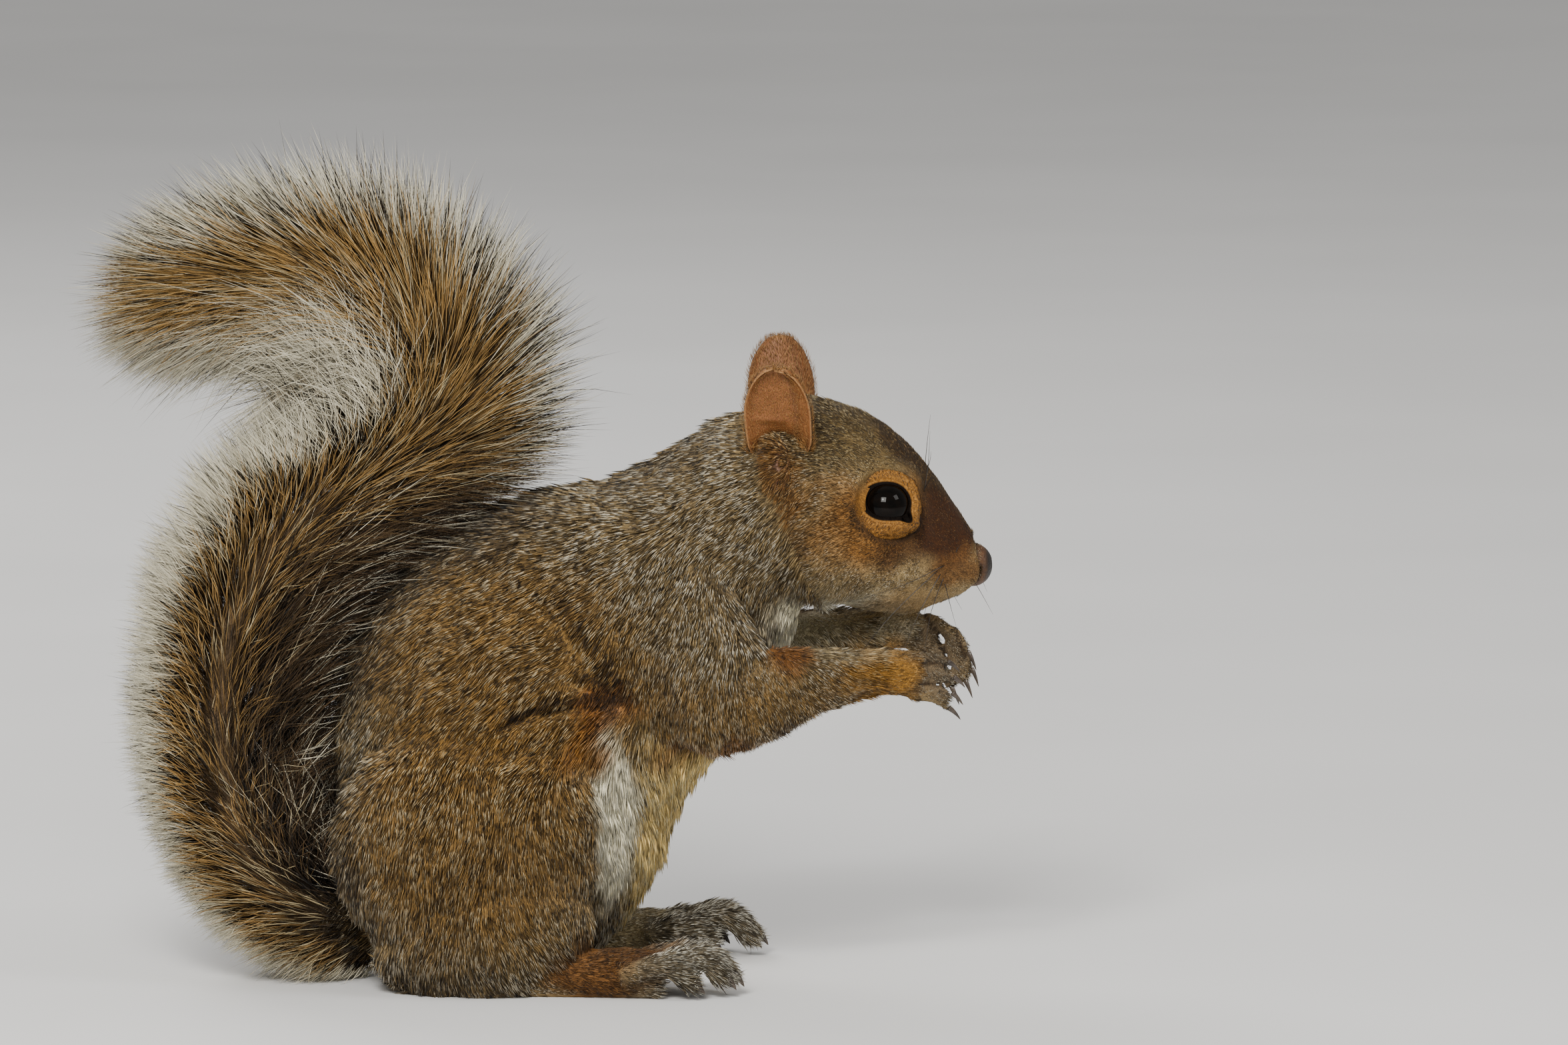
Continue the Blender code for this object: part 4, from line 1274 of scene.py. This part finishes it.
def fuzz_shape(side, root, normal, inside, rng):
    """Middles, ends, widths and directions of the hairs on an ear, and their heights over its foot."""
    tip, _, up, ahead, _ = ear_grid(side)
    count = len(root)
    low = (root - tip) @ up + EAR_HEIGHT
    foot = 1 - ease((low - 2.5) / 6)
    rim = np.clip(np.abs(normal @ ahead) * 1.4 - 0.3, 0, 1)
    length = rng.uniform(0.8, 1.5, count) * (1 + 0.4 * rim + 0.9 * foot) * np.where(inside, 0.9, 1.3)
    way = along_skin(np.tile(up, (count, 1)) + ahead * rng.normal(-0.1, 0.25, (count, 1)), normal)
    lift = np.radians(np.where(inside, 20, 16) + 16 * rim + rng.normal(0, 4, count))[:, None]
    along = way * np.cos(lift) + normal * np.sin(lift)
    middle = root + along * length[:, None] * 0.5 + normal * 0.05
    width = rng.uniform(0.06, 0.10, count) * (1 + 0.5 * foot)
    return middle, root + along * length[:, None], width, along, low


def ear_fuzz(side, item, material):
    """Short fine hair on both faces of an ear, longer at its foot, and a fringe on its rim."""
    rng = np.random.default_rng(51)
    tip, half, up, ahead, out = ear_grid(side)
    points, normals, triangles = read_mesh(item.data)
    low = (points[triangles].mean(axis=1) - tip) @ up + EAR_HEIGHT
    density = np.where(low < -1, 0.0, 8.0 + 8.0 * (low < 6))
    root, normal, _ = scatter(points, normals, triangles, density, 52)
    inside = normal @ out > 0
    middle, end, width, along, low = fuzz_shape(side, root, normal, inside, rng)
    tint = np.where(inside[:, None], (0.36, 0.17, 0.045), (0.26, 0.13, 0.045))
    tint = tint * rng.uniform(0.7, 1.2, (len(root), 1))
    tips = np.where(rng.uniform(0, 1, (len(root), 1)) < 0.35, (0.54, 0.34, 0.13), tint)
    looks = {"tint": tint, "tip": tips, "band": np.zeros(len(root))}
    flat = np.stack(((root - tip) @ ahead / (4 * half), low / (2.2 * EAR_HEIGHT)), axis=1)
    flat = np.clip(flat * 0.9 + np.where(inside[:, None], (0.26, 0.06), (0.72, 0.06)), 0.003, 0.99)
    name = "ear_hair_" + side
    mesh = short_tufts(name, root, middle, end, unit(np.cross(normal, along)), width, looks, flat)
    finish_piece(new_object(name, mesh), material, "ear_skin")


EAR_HOLLOW = (-25.4, 17.5, 10.6)  # ahead, aside and above the middle between the eyes
EAR_HOLLOW_SIZE = (3.4, 7.6)  # half width and half height


def hollow_relief(x, z):
    """Height of the folds below the ear, at millimetres ahead of and above their middle, and how much
    painted shade lies in the notch, the slit and the line above the shelf.
    """
    shelf = 0.7 * hill(x, -0.6, 2.2) * hill(z, 5.6, 1.5)
    knob = 0.8 * hill(x, 0.2, 1.2) * hill(z, 3.4, 1.0)
    notch = hill(x - 0.3 * (z - 0.8), 1.3, 0.7) * hill(z, 1.0, 1.3)
    slit = hill(x - 0.45 * (z + 3.6), 0.8, 0.5) * hill(z, -3.6, 1.3)
    under = hill(x, 0.0, 1.6) * hill(z, 7.4 - 0.25 * x, 0.5)
    return shelf + knob - 1.4 * notch - 1.5 * slit, min(1.0, 1.5 * notch + 1.6 * slit + 0.7 * under)


def make_ear_hollow(side, tree, material):
    """The folds under the ear: a shelf, a knob, a notch and a slit, sunk in short hair."""
    rows, columns = 45, 29
    ahead, aside, above = EAR_HOLLOW
    centre = head_place(ahead, aside * SIDES[side], above)
    out = unit(HEAD_LEFT * SIDES[side] * 0.96 + HEAD_AHEAD * 0.10 + HEAD_UP * 0.22)
    front = squared(HEAD_AHEAD, out)
    over = squared(HEAD_UP, out, front)
    points, dark = [], []
    for v in np.linspace(-1, 1, rows):
        for u in np.linspace(-1, 1, columns):
            x, z = u * EAR_HOLLOW_SIZE[0], v * EAR_HOLLOW_SIZE[1]
            start = centre + front * x + over * z + out * 20
            hit = tree.ray_cast(start.tolist(), (-out).tolist())[0]
            relief, depth = hollow_relief(x, z)
            points.append(np.array(hit) + out * (0.55 + relief - 1.6 * step_up(math.hypot(u, v), 0.7, 1.2)))
            dark.append(depth)
    name = "ear_folds_" + side
    faces = turned(grid_faces(rows, columns), side)
    item = new_object(name, mesh_from(name, np.array(points), faces))
    # a darker tone over all the folds, and painted shade in their notch, slit and the line above the shelf
    write_numbers(item.data, "dark", np.clip(0.45 + 1.6 * np.array(dark), 0, 1))
    write_numbers(item.data, "rim", np.zeros(len(points)))
    return finish_piece(item, material, "ear_skin"), np.array(dark) > 0.45


def in_ear_hollow(points):
    """Whether a point of the skin lies under the folds of an ear, which grow hair of their own."""
    radii = (EAR_HOLLOW_SIZE[0] - 0.6, 9.0, EAR_HOLLOW_SIZE[1] - 0.6)
    return np.linalg.norm((half_head(points) - EAR_HOLLOW) / radii, axis=1) < 0.9


def nose_form(points):
    """Size of the nose pad at points of a sphere of radius 1, and how dark it is there: painted shade in the
    nostril slits and the cleft, and the pad's own darker front.
    """
    x, y, z = points.T
    bend = 0.37 + 0.34 * z - 0.15 * z**2
    slit = np.exp(-(((x - bend) / 0.11) ** 2) - ((z + 0.28) / 0.42) ** 4) * (y != 0)
    cleft = np.exp(-((y / 0.09) ** 2)) * (x > 0) * (z < 0.25)
    wing = np.exp(-(((x - 0.66) / 0.20) ** 2) - ((z + 0.1) / 0.5) ** 2) * np.abs(y)
    # slit and cleft darken with painted shade; the front term is the pad's own darker skin
    dark = np.clip(1.4 * slit + cleft + ease((x - 0.46) / 0.34) * (z > -0.75), 0, 1)
    return (1 - 0.24 * slit - 0.10 * cleft + 0.10 * wing)[:, None], dark


def make_nose(material):
    """The nose pad: a dark ridge down its front, a nostril slit on each side and the cleft between them."""
    centre, radii = NOSE

    def mould(points):
        return head_place(*centre) + points * nose_form(points)[0] * radii @ HEAD_AXES

    item, points = moulded("nose_pad", 96, mould)
    dark = nose_form(points)[1]
    write_numbers(item.data, "dark", dark)
    return finish_piece(item, material, "nose_skin", "nose"), (dark > 0.35) | (points[:, 0] > 0.62)


def make_claws(kind, side, count, material):
    """The claws of one hand or foot, each a smooth curved horn grown from its solid."""
    nodes = [f"claw_{kind}_{side}_{number}" for number in range(1, count + 1)]
    name = f"claws_{kind}_{side}"
    item = new_object(name, mesh_from(name, *joined([pushed_out(node, -0.12) for node in nodes])))
    subdivide = item.modifiers.new("subdivide", "SUBSURF")
    subdivide.levels = subdivide.render_levels = 2
    apply_modifiers(item)
    item.data.shade_smooth()
    finish_piece(item, material, "claw_horn", *nodes)


# Whiskers of one side, from the middle between the eyes: root, middle and tip.
WHISKERS = [
    ((10, 6.6, -15), (0, 15, -27), (-11, 18, -41)),
    ((11, 6.4, -16), (8, 13, -25), (4, 16, -34)),
    ((12, 6.2, -17), (10.5, 11, -26), (9, 14, -35)),
    ((13, 6.0, -18), (15, 10, -24), (16.5, 13, -29)),
    ((17, 5.0, -16.5), (22, 9, -21), (25, 12, -26)),
    ((12, 6.6, -14), (4, 17, -18), (-8, 26, -20)),
    ((-10, 17, -10), (-12, 19, -11.5), (-14.5, 21, -13)),
    ((-9, 17, -11), (-10.5, 19, -13), (-12.5, 21, -15)),
    ((7.6, 8, 2.2), (9.8, 12, 10), (10.2, 14, 18)),
    ((8.6, 8, 3.2), (10.4, 10, 6), (11, 12, 8.4)),
    ((14.5, 6, -12.5), (17, 9, -10.5), (18.5, 11, -9)),
]
WHISKER_RADIUS = 0.12


def tapered_tube(path, radius):
    """Points and triangles of a thin hair along a path, closed to a point."""
    ways = unit(np.gradient(path, axis=0))
    across = unit(np.cross(ways, np.array((0.3, 0.2, 0.93))))
    thick = radius * (1 - 0.85 * np.linspace(0, 1, len(path)))
    return tube(path, across, np.cross(ways, across), thick, 5, path[0], path[-1] + ways[-1] * radius)


def make_whiskers(tree, material):
    """Both sides' whiskers, rooted on the skin."""
    rng = np.random.default_rng(5)
    parts = []
    for side, sign in SIDES.items():
        for whisker in WHISKERS:
            rows = [head_place(a, b * sign, c) for a, b, c in whisker]
            rows[0] = np.array(tree.find_nearest(rows[0].tolist())[0])
            if side == "left":
                rows[2] = rows[2] + rng.normal(0, 0.5, 3) * 2
            parts.append(tapered_tube(spline(rows, 7), WHISKER_RADIUS))
    item = new_object("whiskers", mesh_from("whiskers", *joined(parts)))
    finish_piece(item, material, "nose_skin")


# ---- the coat


def in_lids(points):
    """Whether a point of the skin lies behind the opening of the lids."""
    inside = np.zeros(len(points), bool)
    for side in SIDES:
        level, aside = from_eye(points, side)
        inside |= (level > -1) & (level < 9) & (aside < 6.4)
    return inside


def hairy_faces(pieces):
    """Points, normals and triangles of the parts of small pieces where hair grows."""
    parts, normals = [], []
    for item, bare in pieces:
        place, normal, triangles = read_mesh(item.data)
        parts.append((place, triangles[~bare[triangles].any(axis=1)]))
        normals.append(normal)
    place, triangles = joined(parts)
    return place, np.concatenate(normals), triangles


def openness(points, normals, triangles):
    """Share of the sky that each triangle of the skin sees, roughly: 0 deep in a fold, 1 in the open."""
    tree = BVHTree.FromPolygons(points.tolist(), triangles.tolist())
    centre = points[triangles].mean(axis=1)
    normal = unit(normals[triangles].sum(axis=1))
    first = unit(np.cross(normal, (0.31, 0.17, 0.93)))
    second = np.cross(normal, first)
    free = np.zeros(len(triangles))
    for a, b in ((0, 0), (0.9, 0), (-0.9, 0), (0, 0.9), (0, -0.9)):
        way = unit(normal + first * a + second * b)
        start = centre + normal * 0.6
        for k, (p, d) in enumerate(zip(start.tolist(), way.tolist())):
            free[k] += tree.ray_cast(p, d, 16.0)[0] is None
    return free / 5


def coat_roots(points, normals, triangles, zone, seed):
    """Roots of all the body's tufts, thinned where they would lie on eyes, nose or soles."""
    centres = points[triangles].mean(axis=1)
    where = zone[triangles[:, 0]]
    density = np.array([HAIR[name][3] if name in HAIR else 0.0 for name in ZONES])[where]
    face = HAIR["head"][3] + 7 * ease((0.72 - head_hair(centres)) / 0.4)
    density = np.where(in_zone(where, "head"), face, density)
    density = np.where(centres[:, 2] < 1.0, 0.0, density)
    density = density * (0.22 + 0.78 * ease(openness(points, normals, triangles) * 1.4 - 0.1))
    place, normal, chosen = scatter(points, normals, triangles, density, seed)
    keep = ~in_lids(place) & ~in_ear_hollow(place) & (from_nose(place) > 0.93)
    return place[keep], normal[keep], where[chosen][keep]


def hair_sizes(place, zone, rng):
    """Length, width and degrees of lift of the body's tufts."""
    table = np.array([HAIR[name][:3] if name in HAIR else (1, 0.2, 15) for name in ZONES])
    length, width, lift = table[zone].T.copy()
    share = np.where(in_zone(zone, "head"), head_hair(place), 1.0)
    length = length * share * rng.uniform(0.72, 1.18, len(place))
    length = length * (1 - 0.5 * crease_share(place, zone, 2.4))
    width = width * (0.42 + 0.58 * share) * rng.uniform(0.75, 1.2, len(place))
    on_toes = in_zone(zone, "hind_foot") * ease((place[:, 0] - 20) / 8)
    return length * (1 + 0.7 * on_toes), width, lift


def away_from_eyes(place):
    """A push on the lie of the hair that makes it run out from round the eyes."""
    away = np.zeros_like(place)
    for side in SIDES:
        offset = place - EYES[side]
        distance = np.linalg.norm(offset, axis=1, keepdims=True)
        away += offset / distance * (1 - ease((distance - EYE_RADIUS - 1.5) / 3.5)) * 1.4
    return away


def lay_coat(place, normal, zone, seed):
    """Middle lines, side directions and widths of the body's tufts."""
    rng = np.random.default_rng(seed)
    count = len(place)
    length, width, lift = hair_sizes(place, zone, rng)
    way = along_skin(lie_at(place, zone) + away_from_eyes(place), normal)
    side = unit(np.cross(normal, way))
    swing = 9 * ripple(place, 14, seed + 1) + 7 * ripple(place, 4.5, seed + 2) + rng.normal(0, 6, count)
    swing = np.radians(swing)[:, None]
    way = way * np.cos(swing) + side * np.sin(swing)
    lift = np.radians(lift * (1 + 0.25 * ripple(place, 6, seed + 3)) + rng.normal(0, 3.5, count))
    rise = np.tan(np.clip(lift, 0.05, 0.9))
    reach = length[:, None] * BODY_LEVELS
    height = reach * rise[:, None] * (1.5 - 0.5 * BODY_LEVELS) - ROOT_SINK
    lines = place[:, None] + way[:, None] * reach[..., None] + normal[:, None] * height[..., None]
    return lines, unit(np.cross(normal, way)), width


def locks_of(place, every):
    """For each tuft, the number of the one that leads its lock: every so many lead."""
    leaders = np.arange(0, len(place), every)
    tree = KDTree(len(leaders))
    for k, leader in enumerate(leaders):
        tree.insert(place[leader], k)
    tree.balance()
    return leaders[np.array([tree.find(p)[1] for p in place.tolist()])]


def pull_locks(lines, leader, pull):
    """Draws the tips of the tufts of a lock together."""
    shift = (lines[leader, -1] - lines[:, -1]) * pull
    lines[:, -1] += shift
    lines[:, -2] += shift * 0.3
    return lines


COAT_PIECES = {  # zones that share a piece, and the ends of the left one's axis, which it's unrolled about
    "coat_head": (("head",), (50, 0, 112), (104, 0, 100)),
    "coat_neck": (("neck",), (20, 0, 100), (68, 0, 112)),
    "coat_trunk": (("trunk",), (-20, 0, 5), (30, 0, 110)),
    "coat_arms": (("upper_arm", "forearm", "hand"), (30, 24, 76), (98, 24, 76)),
    "coat_thighs": (("thigh",), (-16, 24, 2), (-16, 24, 70)),
    "coat_feet": (("shank", "hind_foot"), (-18, 24, 4), (46, 24, 4)),
}
MOST_TUFTS = 24000  # in one piece
FINE_HAIRS = 12.0  # tufts per square millimetre round the eyes and under the ears


def all_roots(skin, pieces):
    """Places, normals and zones of the roots of all the body's tufts."""
    points, normals, triangles = read_mesh(skin.data)
    place, normal, where = coat_roots(points, normals, triangles, zones_of(points), 11)
    more, more_normal, faces = hairy_faces(pieces)
    more, more_normal, _ = scatter(more, more_normal, faces, np.full(len(faces), FINE_HAIRS), 14)
    where = np.concatenate((where, np.full(len(more), ZONES.index("head"))))
    return np.concatenate((place, more)), np.concatenate((normal, more_normal)), where


def make_coat(skin, pieces, material):
    """The body's tufts, laid, drawn into locks and coloured together, then shared out among the pieces."""
    place, normal, where = all_roots(skin, pieces)
    lines, side, width = lay_coat(place, normal, where, 12)
    leader = locks_of(place, BODY_LOCK[0])
    lines = pull_locks(lines, leader, BODY_LOCK[1])
    # painted shade darkens the coat again where the tufts' tips lie in creases
    rows = crease_shaded(markings_and_shade(place, where), lines[:, -1], where, 1.0)
    looks = hair_colours(rows, leader, np.random.default_rng(13))
    for name, (zones, *ends) in COAT_PIECES.items():
        for half, sign in SIDES.items():
            start, end = np.array(ends, float) * (1, sign, 1)
            chosen = np.flatnonzero(in_zone(where, *zones) & (np.sign(place[:, 1] + 1e-9) == sign))
            order = chosen[np.argsort(place[chosen] @ unit(end - start), kind="stable")]
            parts = max(1, math.ceil(len(order) / MOST_TUFTS))
            for number, some in enumerate(np.array_split(order, parts), 1):
                label = f"{name}_{half}_{number}"
                patches = unwrap(place[some], start, end)
                some_looks = {key: values[some] for key, values in looks.items()}
                root, middle, tip = np.moveaxis(lines[some], 1, 0)
                mesh = short_tufts(label, root, middle, tip, side[some], width[some], some_looks, patches)
                finish_piece(new_object(label, mesh), material, "grey_coat")


def tail_tree():
    """The tail's solids, closed into one, to measure how long each hair may be."""
    item = remeshed("tail_reach", *joined([pushed_out(node, 0.4) for node in TAIL_NODES]), 1.5, 2)
    points, _, triangles = read_mesh(item.data)
    bpy.data.objects.remove(item)
    return BVHTree.FromPolygons(points.tolist(), triangles.tolist())


def hair_places(count, rng):
    """Shares of the tail's length and angles round it, with more hairs at its tip and on its two edges."""
    share = 0.02 + 0.98 * (np.arange(count) + rng.uniform(0, 1, count)) / count
    share = np.where(rng.uniform(0, 1, count) < 0.06, rng.uniform(0.93, 1.0, count), share)
    angle = rng.uniform(-math.pi, math.pi, count)
    pick = rng.uniform(0, 1, count)
    angle = np.where(pick < 0.24, rng.normal(0, 0.5, count), angle)
    return share, np.where(pick > 0.86, math.pi + rng.normal(0, 0.5, count), angle)


def hair_ways(share, angle, rng):
    """Roots of the tail's hairs, the ways that they grow and the tail's own way there."""
    count = len(share)
    core, way, radius = TAIL_LINE.at(share)
    outer = unit(np.cross(way, ACROSS))
    table = np.array(TAIL_LEAN, float).T
    lean_out, lean_in = (np.interp(share, table[0], row) for row in table[1:])
    facing = np.cos(angle)
    blend = ease(facing * 0.5 + 0.5)
    combed = 1 - (0.30 + 0.22 * ease((share - 0.4) / 0.2)) * (1 - np.abs(facing) ** 1.5)
    lean = (lean_out * blend + lean_in * (1 - blend)) * combed + rng.normal(0, 8, count)
    lean = np.radians(lean)[:, None]
    fan = np.sign(facing) * np.abs(facing) ** 0.7
    spread = unit(outer * fan[:, None] + ACROSS * (np.sin(angle) * 0.8)[:, None])
    radial = unit(outer * facing[:, None] + ACROSS * np.sin(angle)[:, None])
    place = core + radial * (radius * 0.9)[:, None]
    toward = unit(way * np.cos(lean) + spread * np.sin(lean))
    stray = np.stack([ripple(place, 7, 41 + k) for k in range(3)], axis=1) * 0.12
    return place, unit(toward + stray + rng.normal(0, 0.07, (count, 3))), way


def tail_hairs(count, levels, seed, tree):
    """Lines of hairs on the tail, the ways across them, their shares of its length and angles round it."""
    rng = np.random.default_rng(seed)
    share, angle = hair_places(count, rng)
    place, toward, way = hair_ways(share, angle, rng)
    hits = [tree.ray_cast(p, d)[3] for p, d in zip(place.tolist(), toward.tolist())]
    reach = np.array([NO_HIT if hit is None else hit for hit in hits])
    facing = np.cos(angle)
    stragglers = np.where(rng.uniform(0, 1, count) < 0.06, 1.10, 1.0)
    low_inside = ease(-facing * 1.5) * (1 - ease((share - 0.50) / 0.15))
    length = reach * (rng.uniform(0.86, 1.13, count) + 0.34 * low_inside) * stragglers
    length = np.clip(length, 4, 30 + 20 * np.abs(facing))[:, None]
    curl = unit(np.cross(toward, ACROSS)) * rng.normal(0, 0.11, count)[:, None] + way * 0.06
    curl += ACROSS * rng.normal(0, 0.07, count)[:, None]
    curl[:, 2] -= 0.05
    lines = place[:, None] + toward[:, None] * (length * levels)[..., None]
    lines = lines + curl[:, None] * (length * levels**2)[..., None]
    side = unit(np.cross(toward, unit(rng.normal(0, 1, (count, 3)))))
    leader = locks_of(lines[:, -1], TAIL_LOCK[0])
    return pull_locks(lines, leader, TAIL_LOCK[1]), side, share, angle, leader


def make_tail(material):
    """The tail's hair in pieces, one of each kind for each quarter of its length."""
    tree = tail_tree()
    for kind, count, levels, breadth, seed in TAIL_HAIRS:
        lines, side, share, angle, leader = tail_hairs(count, levels, seed, tree)
        rng = np.random.default_rng(seed + 5)
        width = rng.uniform(*breadth, count)
        looks = tail_colours(lines[:, 0], share, np.cos(angle), leader, rng)
        around = angle / (2 * math.pi) % 1.0
        for number, node in enumerate(TAIL_NODES):
            quarter = share * 4 - number
            some = np.flatnonzero((quarter >= 0) & (quarter < 1 + (number == 3)))
            label = f"tail_hair_{kind}_{number + 1}"
            patches = np.clip(np.stack((around, quarter), axis=1)[some], 0, 1) * 0.99 + 0.003
            some_looks = {key: values[some] for key, values in looks.items()}
            mesh = long_tufts(label, lines[some], levels, side[some], width[some], some_looks, patches)
            nodes = [node] if kind == "strong" else []
            finish_piece(new_object(label, mesh), material, "tail_coat", *nodes)


def tail_colours(place, share, facing, leader, rng):
    """Colours of the tail's hairs. facing is 1 on its outer side, -1 on its inner side, 0 between."""
    count = len(share)
    lower = 0.7 * (1 - ease((share - 0.02) / 0.22))
    # beside the body the inner hairs go near black: partly their own colour, partly painted shade between
    # the tail and the body
    beside_body = ease((-facing - 0.02) / 0.42) * (1 - ease((share - 0.58) / 0.14))
    tint = blended(np.tile(TAIL_OCHRE, (count, 1)), TAIL_BROWN, lower)
    tint = blended(tint, TAIL_BLACK_AND_SHADE, beside_body * 0.9)
    tone = rng.uniform(0.6, 1.3, count) * rng.uniform(0.85, 1.15, count)[leader]
    tint = tint * (tone * (1 + 0.22 * ripple(place, 5, 61)))[:, None]
    outer_low = ease((facing - 0.3) / 0.2) * (1 - ease((share - 0.72) / 0.1))
    edge = ease((np.abs(facing) - 0.54 + 0.14 * outer_low) / 0.34)
    top_side = ease((-facing - 0.2) / 0.4) * ease((share - 0.5) / 0.1)
    pick = lock_picks(count, leader, 0.25, rng)
    white = (0.16 + 0.72 * edge * (1 - 0.35 * top_side) + 0.30 * lower) * (1 - 0.8 * beside_body)
    pale = blended(np.tile(TAIL_CREAM, (count, 1)), TAIL_WHITE, edge)
    tip = tip_colours(tint * 1.15, pale, pick, white, 0.16 + 0.25 * edge, (0.75, 1.05), rng)
    band = np.clip(0.30 + 0.70 * edge + rng.uniform(-0.25, 0.35, count), 0, 1)
    return {"tint": np.maximum(tint, 0.01), "tip": tip, "band": band}


def paint_skin(skin, material):
    """Gives the skin the same markings and painted shade as its coat."""
    mesh = skin.data
    points = read_mesh(mesh)[0]
    zone = zones_of(points)
    rows = markings_and_shade(points, zone)
    rows[in_zone(zone, "tail"), :3] = TAIL_SKIN
    write_colours(mesh, "tint", rows[:, :3])
    ways = np.array([GRAIN[LIE_OF.get(name, "body")] for name in ZONES], float)
    way = unit(ways)[zone]
    grain = points - way * np.sum(points * way, axis=1, keepdims=True) * 0.87
    grain = (grain * MM).astype(np.float32).ravel()
    mesh.attributes.new("grain", "FLOAT_VECTOR", "POINT").data.foreach_set("vector", grain)
    mesh.shade_smooth()
    finish_piece(skin, material, "grey_coat", *FLESH)


# ---- camera, floor and light


def make_stage():
    """A pale floor."""
    bpy.ops.mesh.primitive_plane_add(size=6, location=(0, 0, 0))
    floor = bpy.context.object
    floor.name = "floor"
    floor.data.materials.append(floor_material())


def make_camera():
    """A long lens 3 metres off, a little above the animal's middle."""
    elevation = math.radians(7.0)
    distance = 3.06
    target = Vector((0.0564, 0.0, 0.1074))
    data = bpy.data.cameras.new("camera")
    data.lens = 300
    data.sensor_width = 36
    data.clip_end = 50
    camera = new_object("camera", data)
    camera.location = target + Vector((0, -math.cos(elevation), math.sin(elevation))) * distance
    camera.rotation_euler = (math.pi / 2 - elevation, 0, 0)
    bpy.context.scene.camera = camera


def soft_light(name, toward, distance, size, power, colour):
    """A large square lamp that shines on the squirrel from a direction."""
    data = bpy.data.lights.new(name, "AREA")
    data.size = size
    data.energy = power
    data.color = colour
    lamp = new_object(name, data)
    way = Vector(toward).normalized()
    lamp.location = Vector((0, 0, 0.09)) + way * distance
    lamp.rotation_euler = way.to_track_quat("Z", "Y").to_euler()


LAMPS = [  # name, the way towards it, its distance and size in metres, power and colour
    ("key", (-0.16, -0.84, 0.62), 1.6, 0.6, 26, (1.0, 0.97, 0.91)),
    ("fill", (0.71, -0.40, 0.64), 1.6, 0.5, 6, (1.0, 0.98, 0.95)),
    ("rim", (-0.5, 0.8, 0.75), 1.6, 0.9, 12, (1.0, 0.98, 0.95)),
    ("spark", (-0.18, -0.80, 0.62), 1.1, 0.11, 2.4, (1.0, 1.0, 1.0)),
]


def make_light():
    for row in LAMPS:
        soft_light(*row)
    world = bpy.data.worlds.new("studio")
    world.use_nodes = True
    sky = world.node_tree.nodes["Background"].inputs
    sky["Color"].default_value = (1.0, 0.985, 0.96, 1)
    sky["Strength"].default_value = 0.45
    bpy.context.scene.world = world


# ---- assembly


def build():
    make_stage()
    make_camera()
    make_light()
    dark_eye, lid, ear = eye_material(), lid_material(), ear_material()
    coat = coat_material("coat_hair", (0.46, 0.69), 0.73, 0.18)
    skin = make_skin()
    points, _, triangles = read_mesh(skin.data)
    tree = BVHTree.FromPolygons(points.tolist(), triangles.tolist())
    pieces = [make_nose(nose_material())]
    for side in SIDES:
        make_eye(side, dark_eye)
        ear_fuzz(side, make_ear(side, ear), coat)
        pieces += [make_lids(side, tree, lid), make_ear_hollow(side, tree, ear)]
    make_coat(skin, pieces, coat)
    paint_skin(skin, skin_material())
    make_tail(coat_material("tail_hair", (0.41, 0.55), 0.59, 0.05))
    horn = claw_material()
    for side in SIDES:
        make_claws("hand", side, 4, horn)
        make_claws("foot", side, 5, horn)
    make_whiskers(tree, whisker_material())


build()
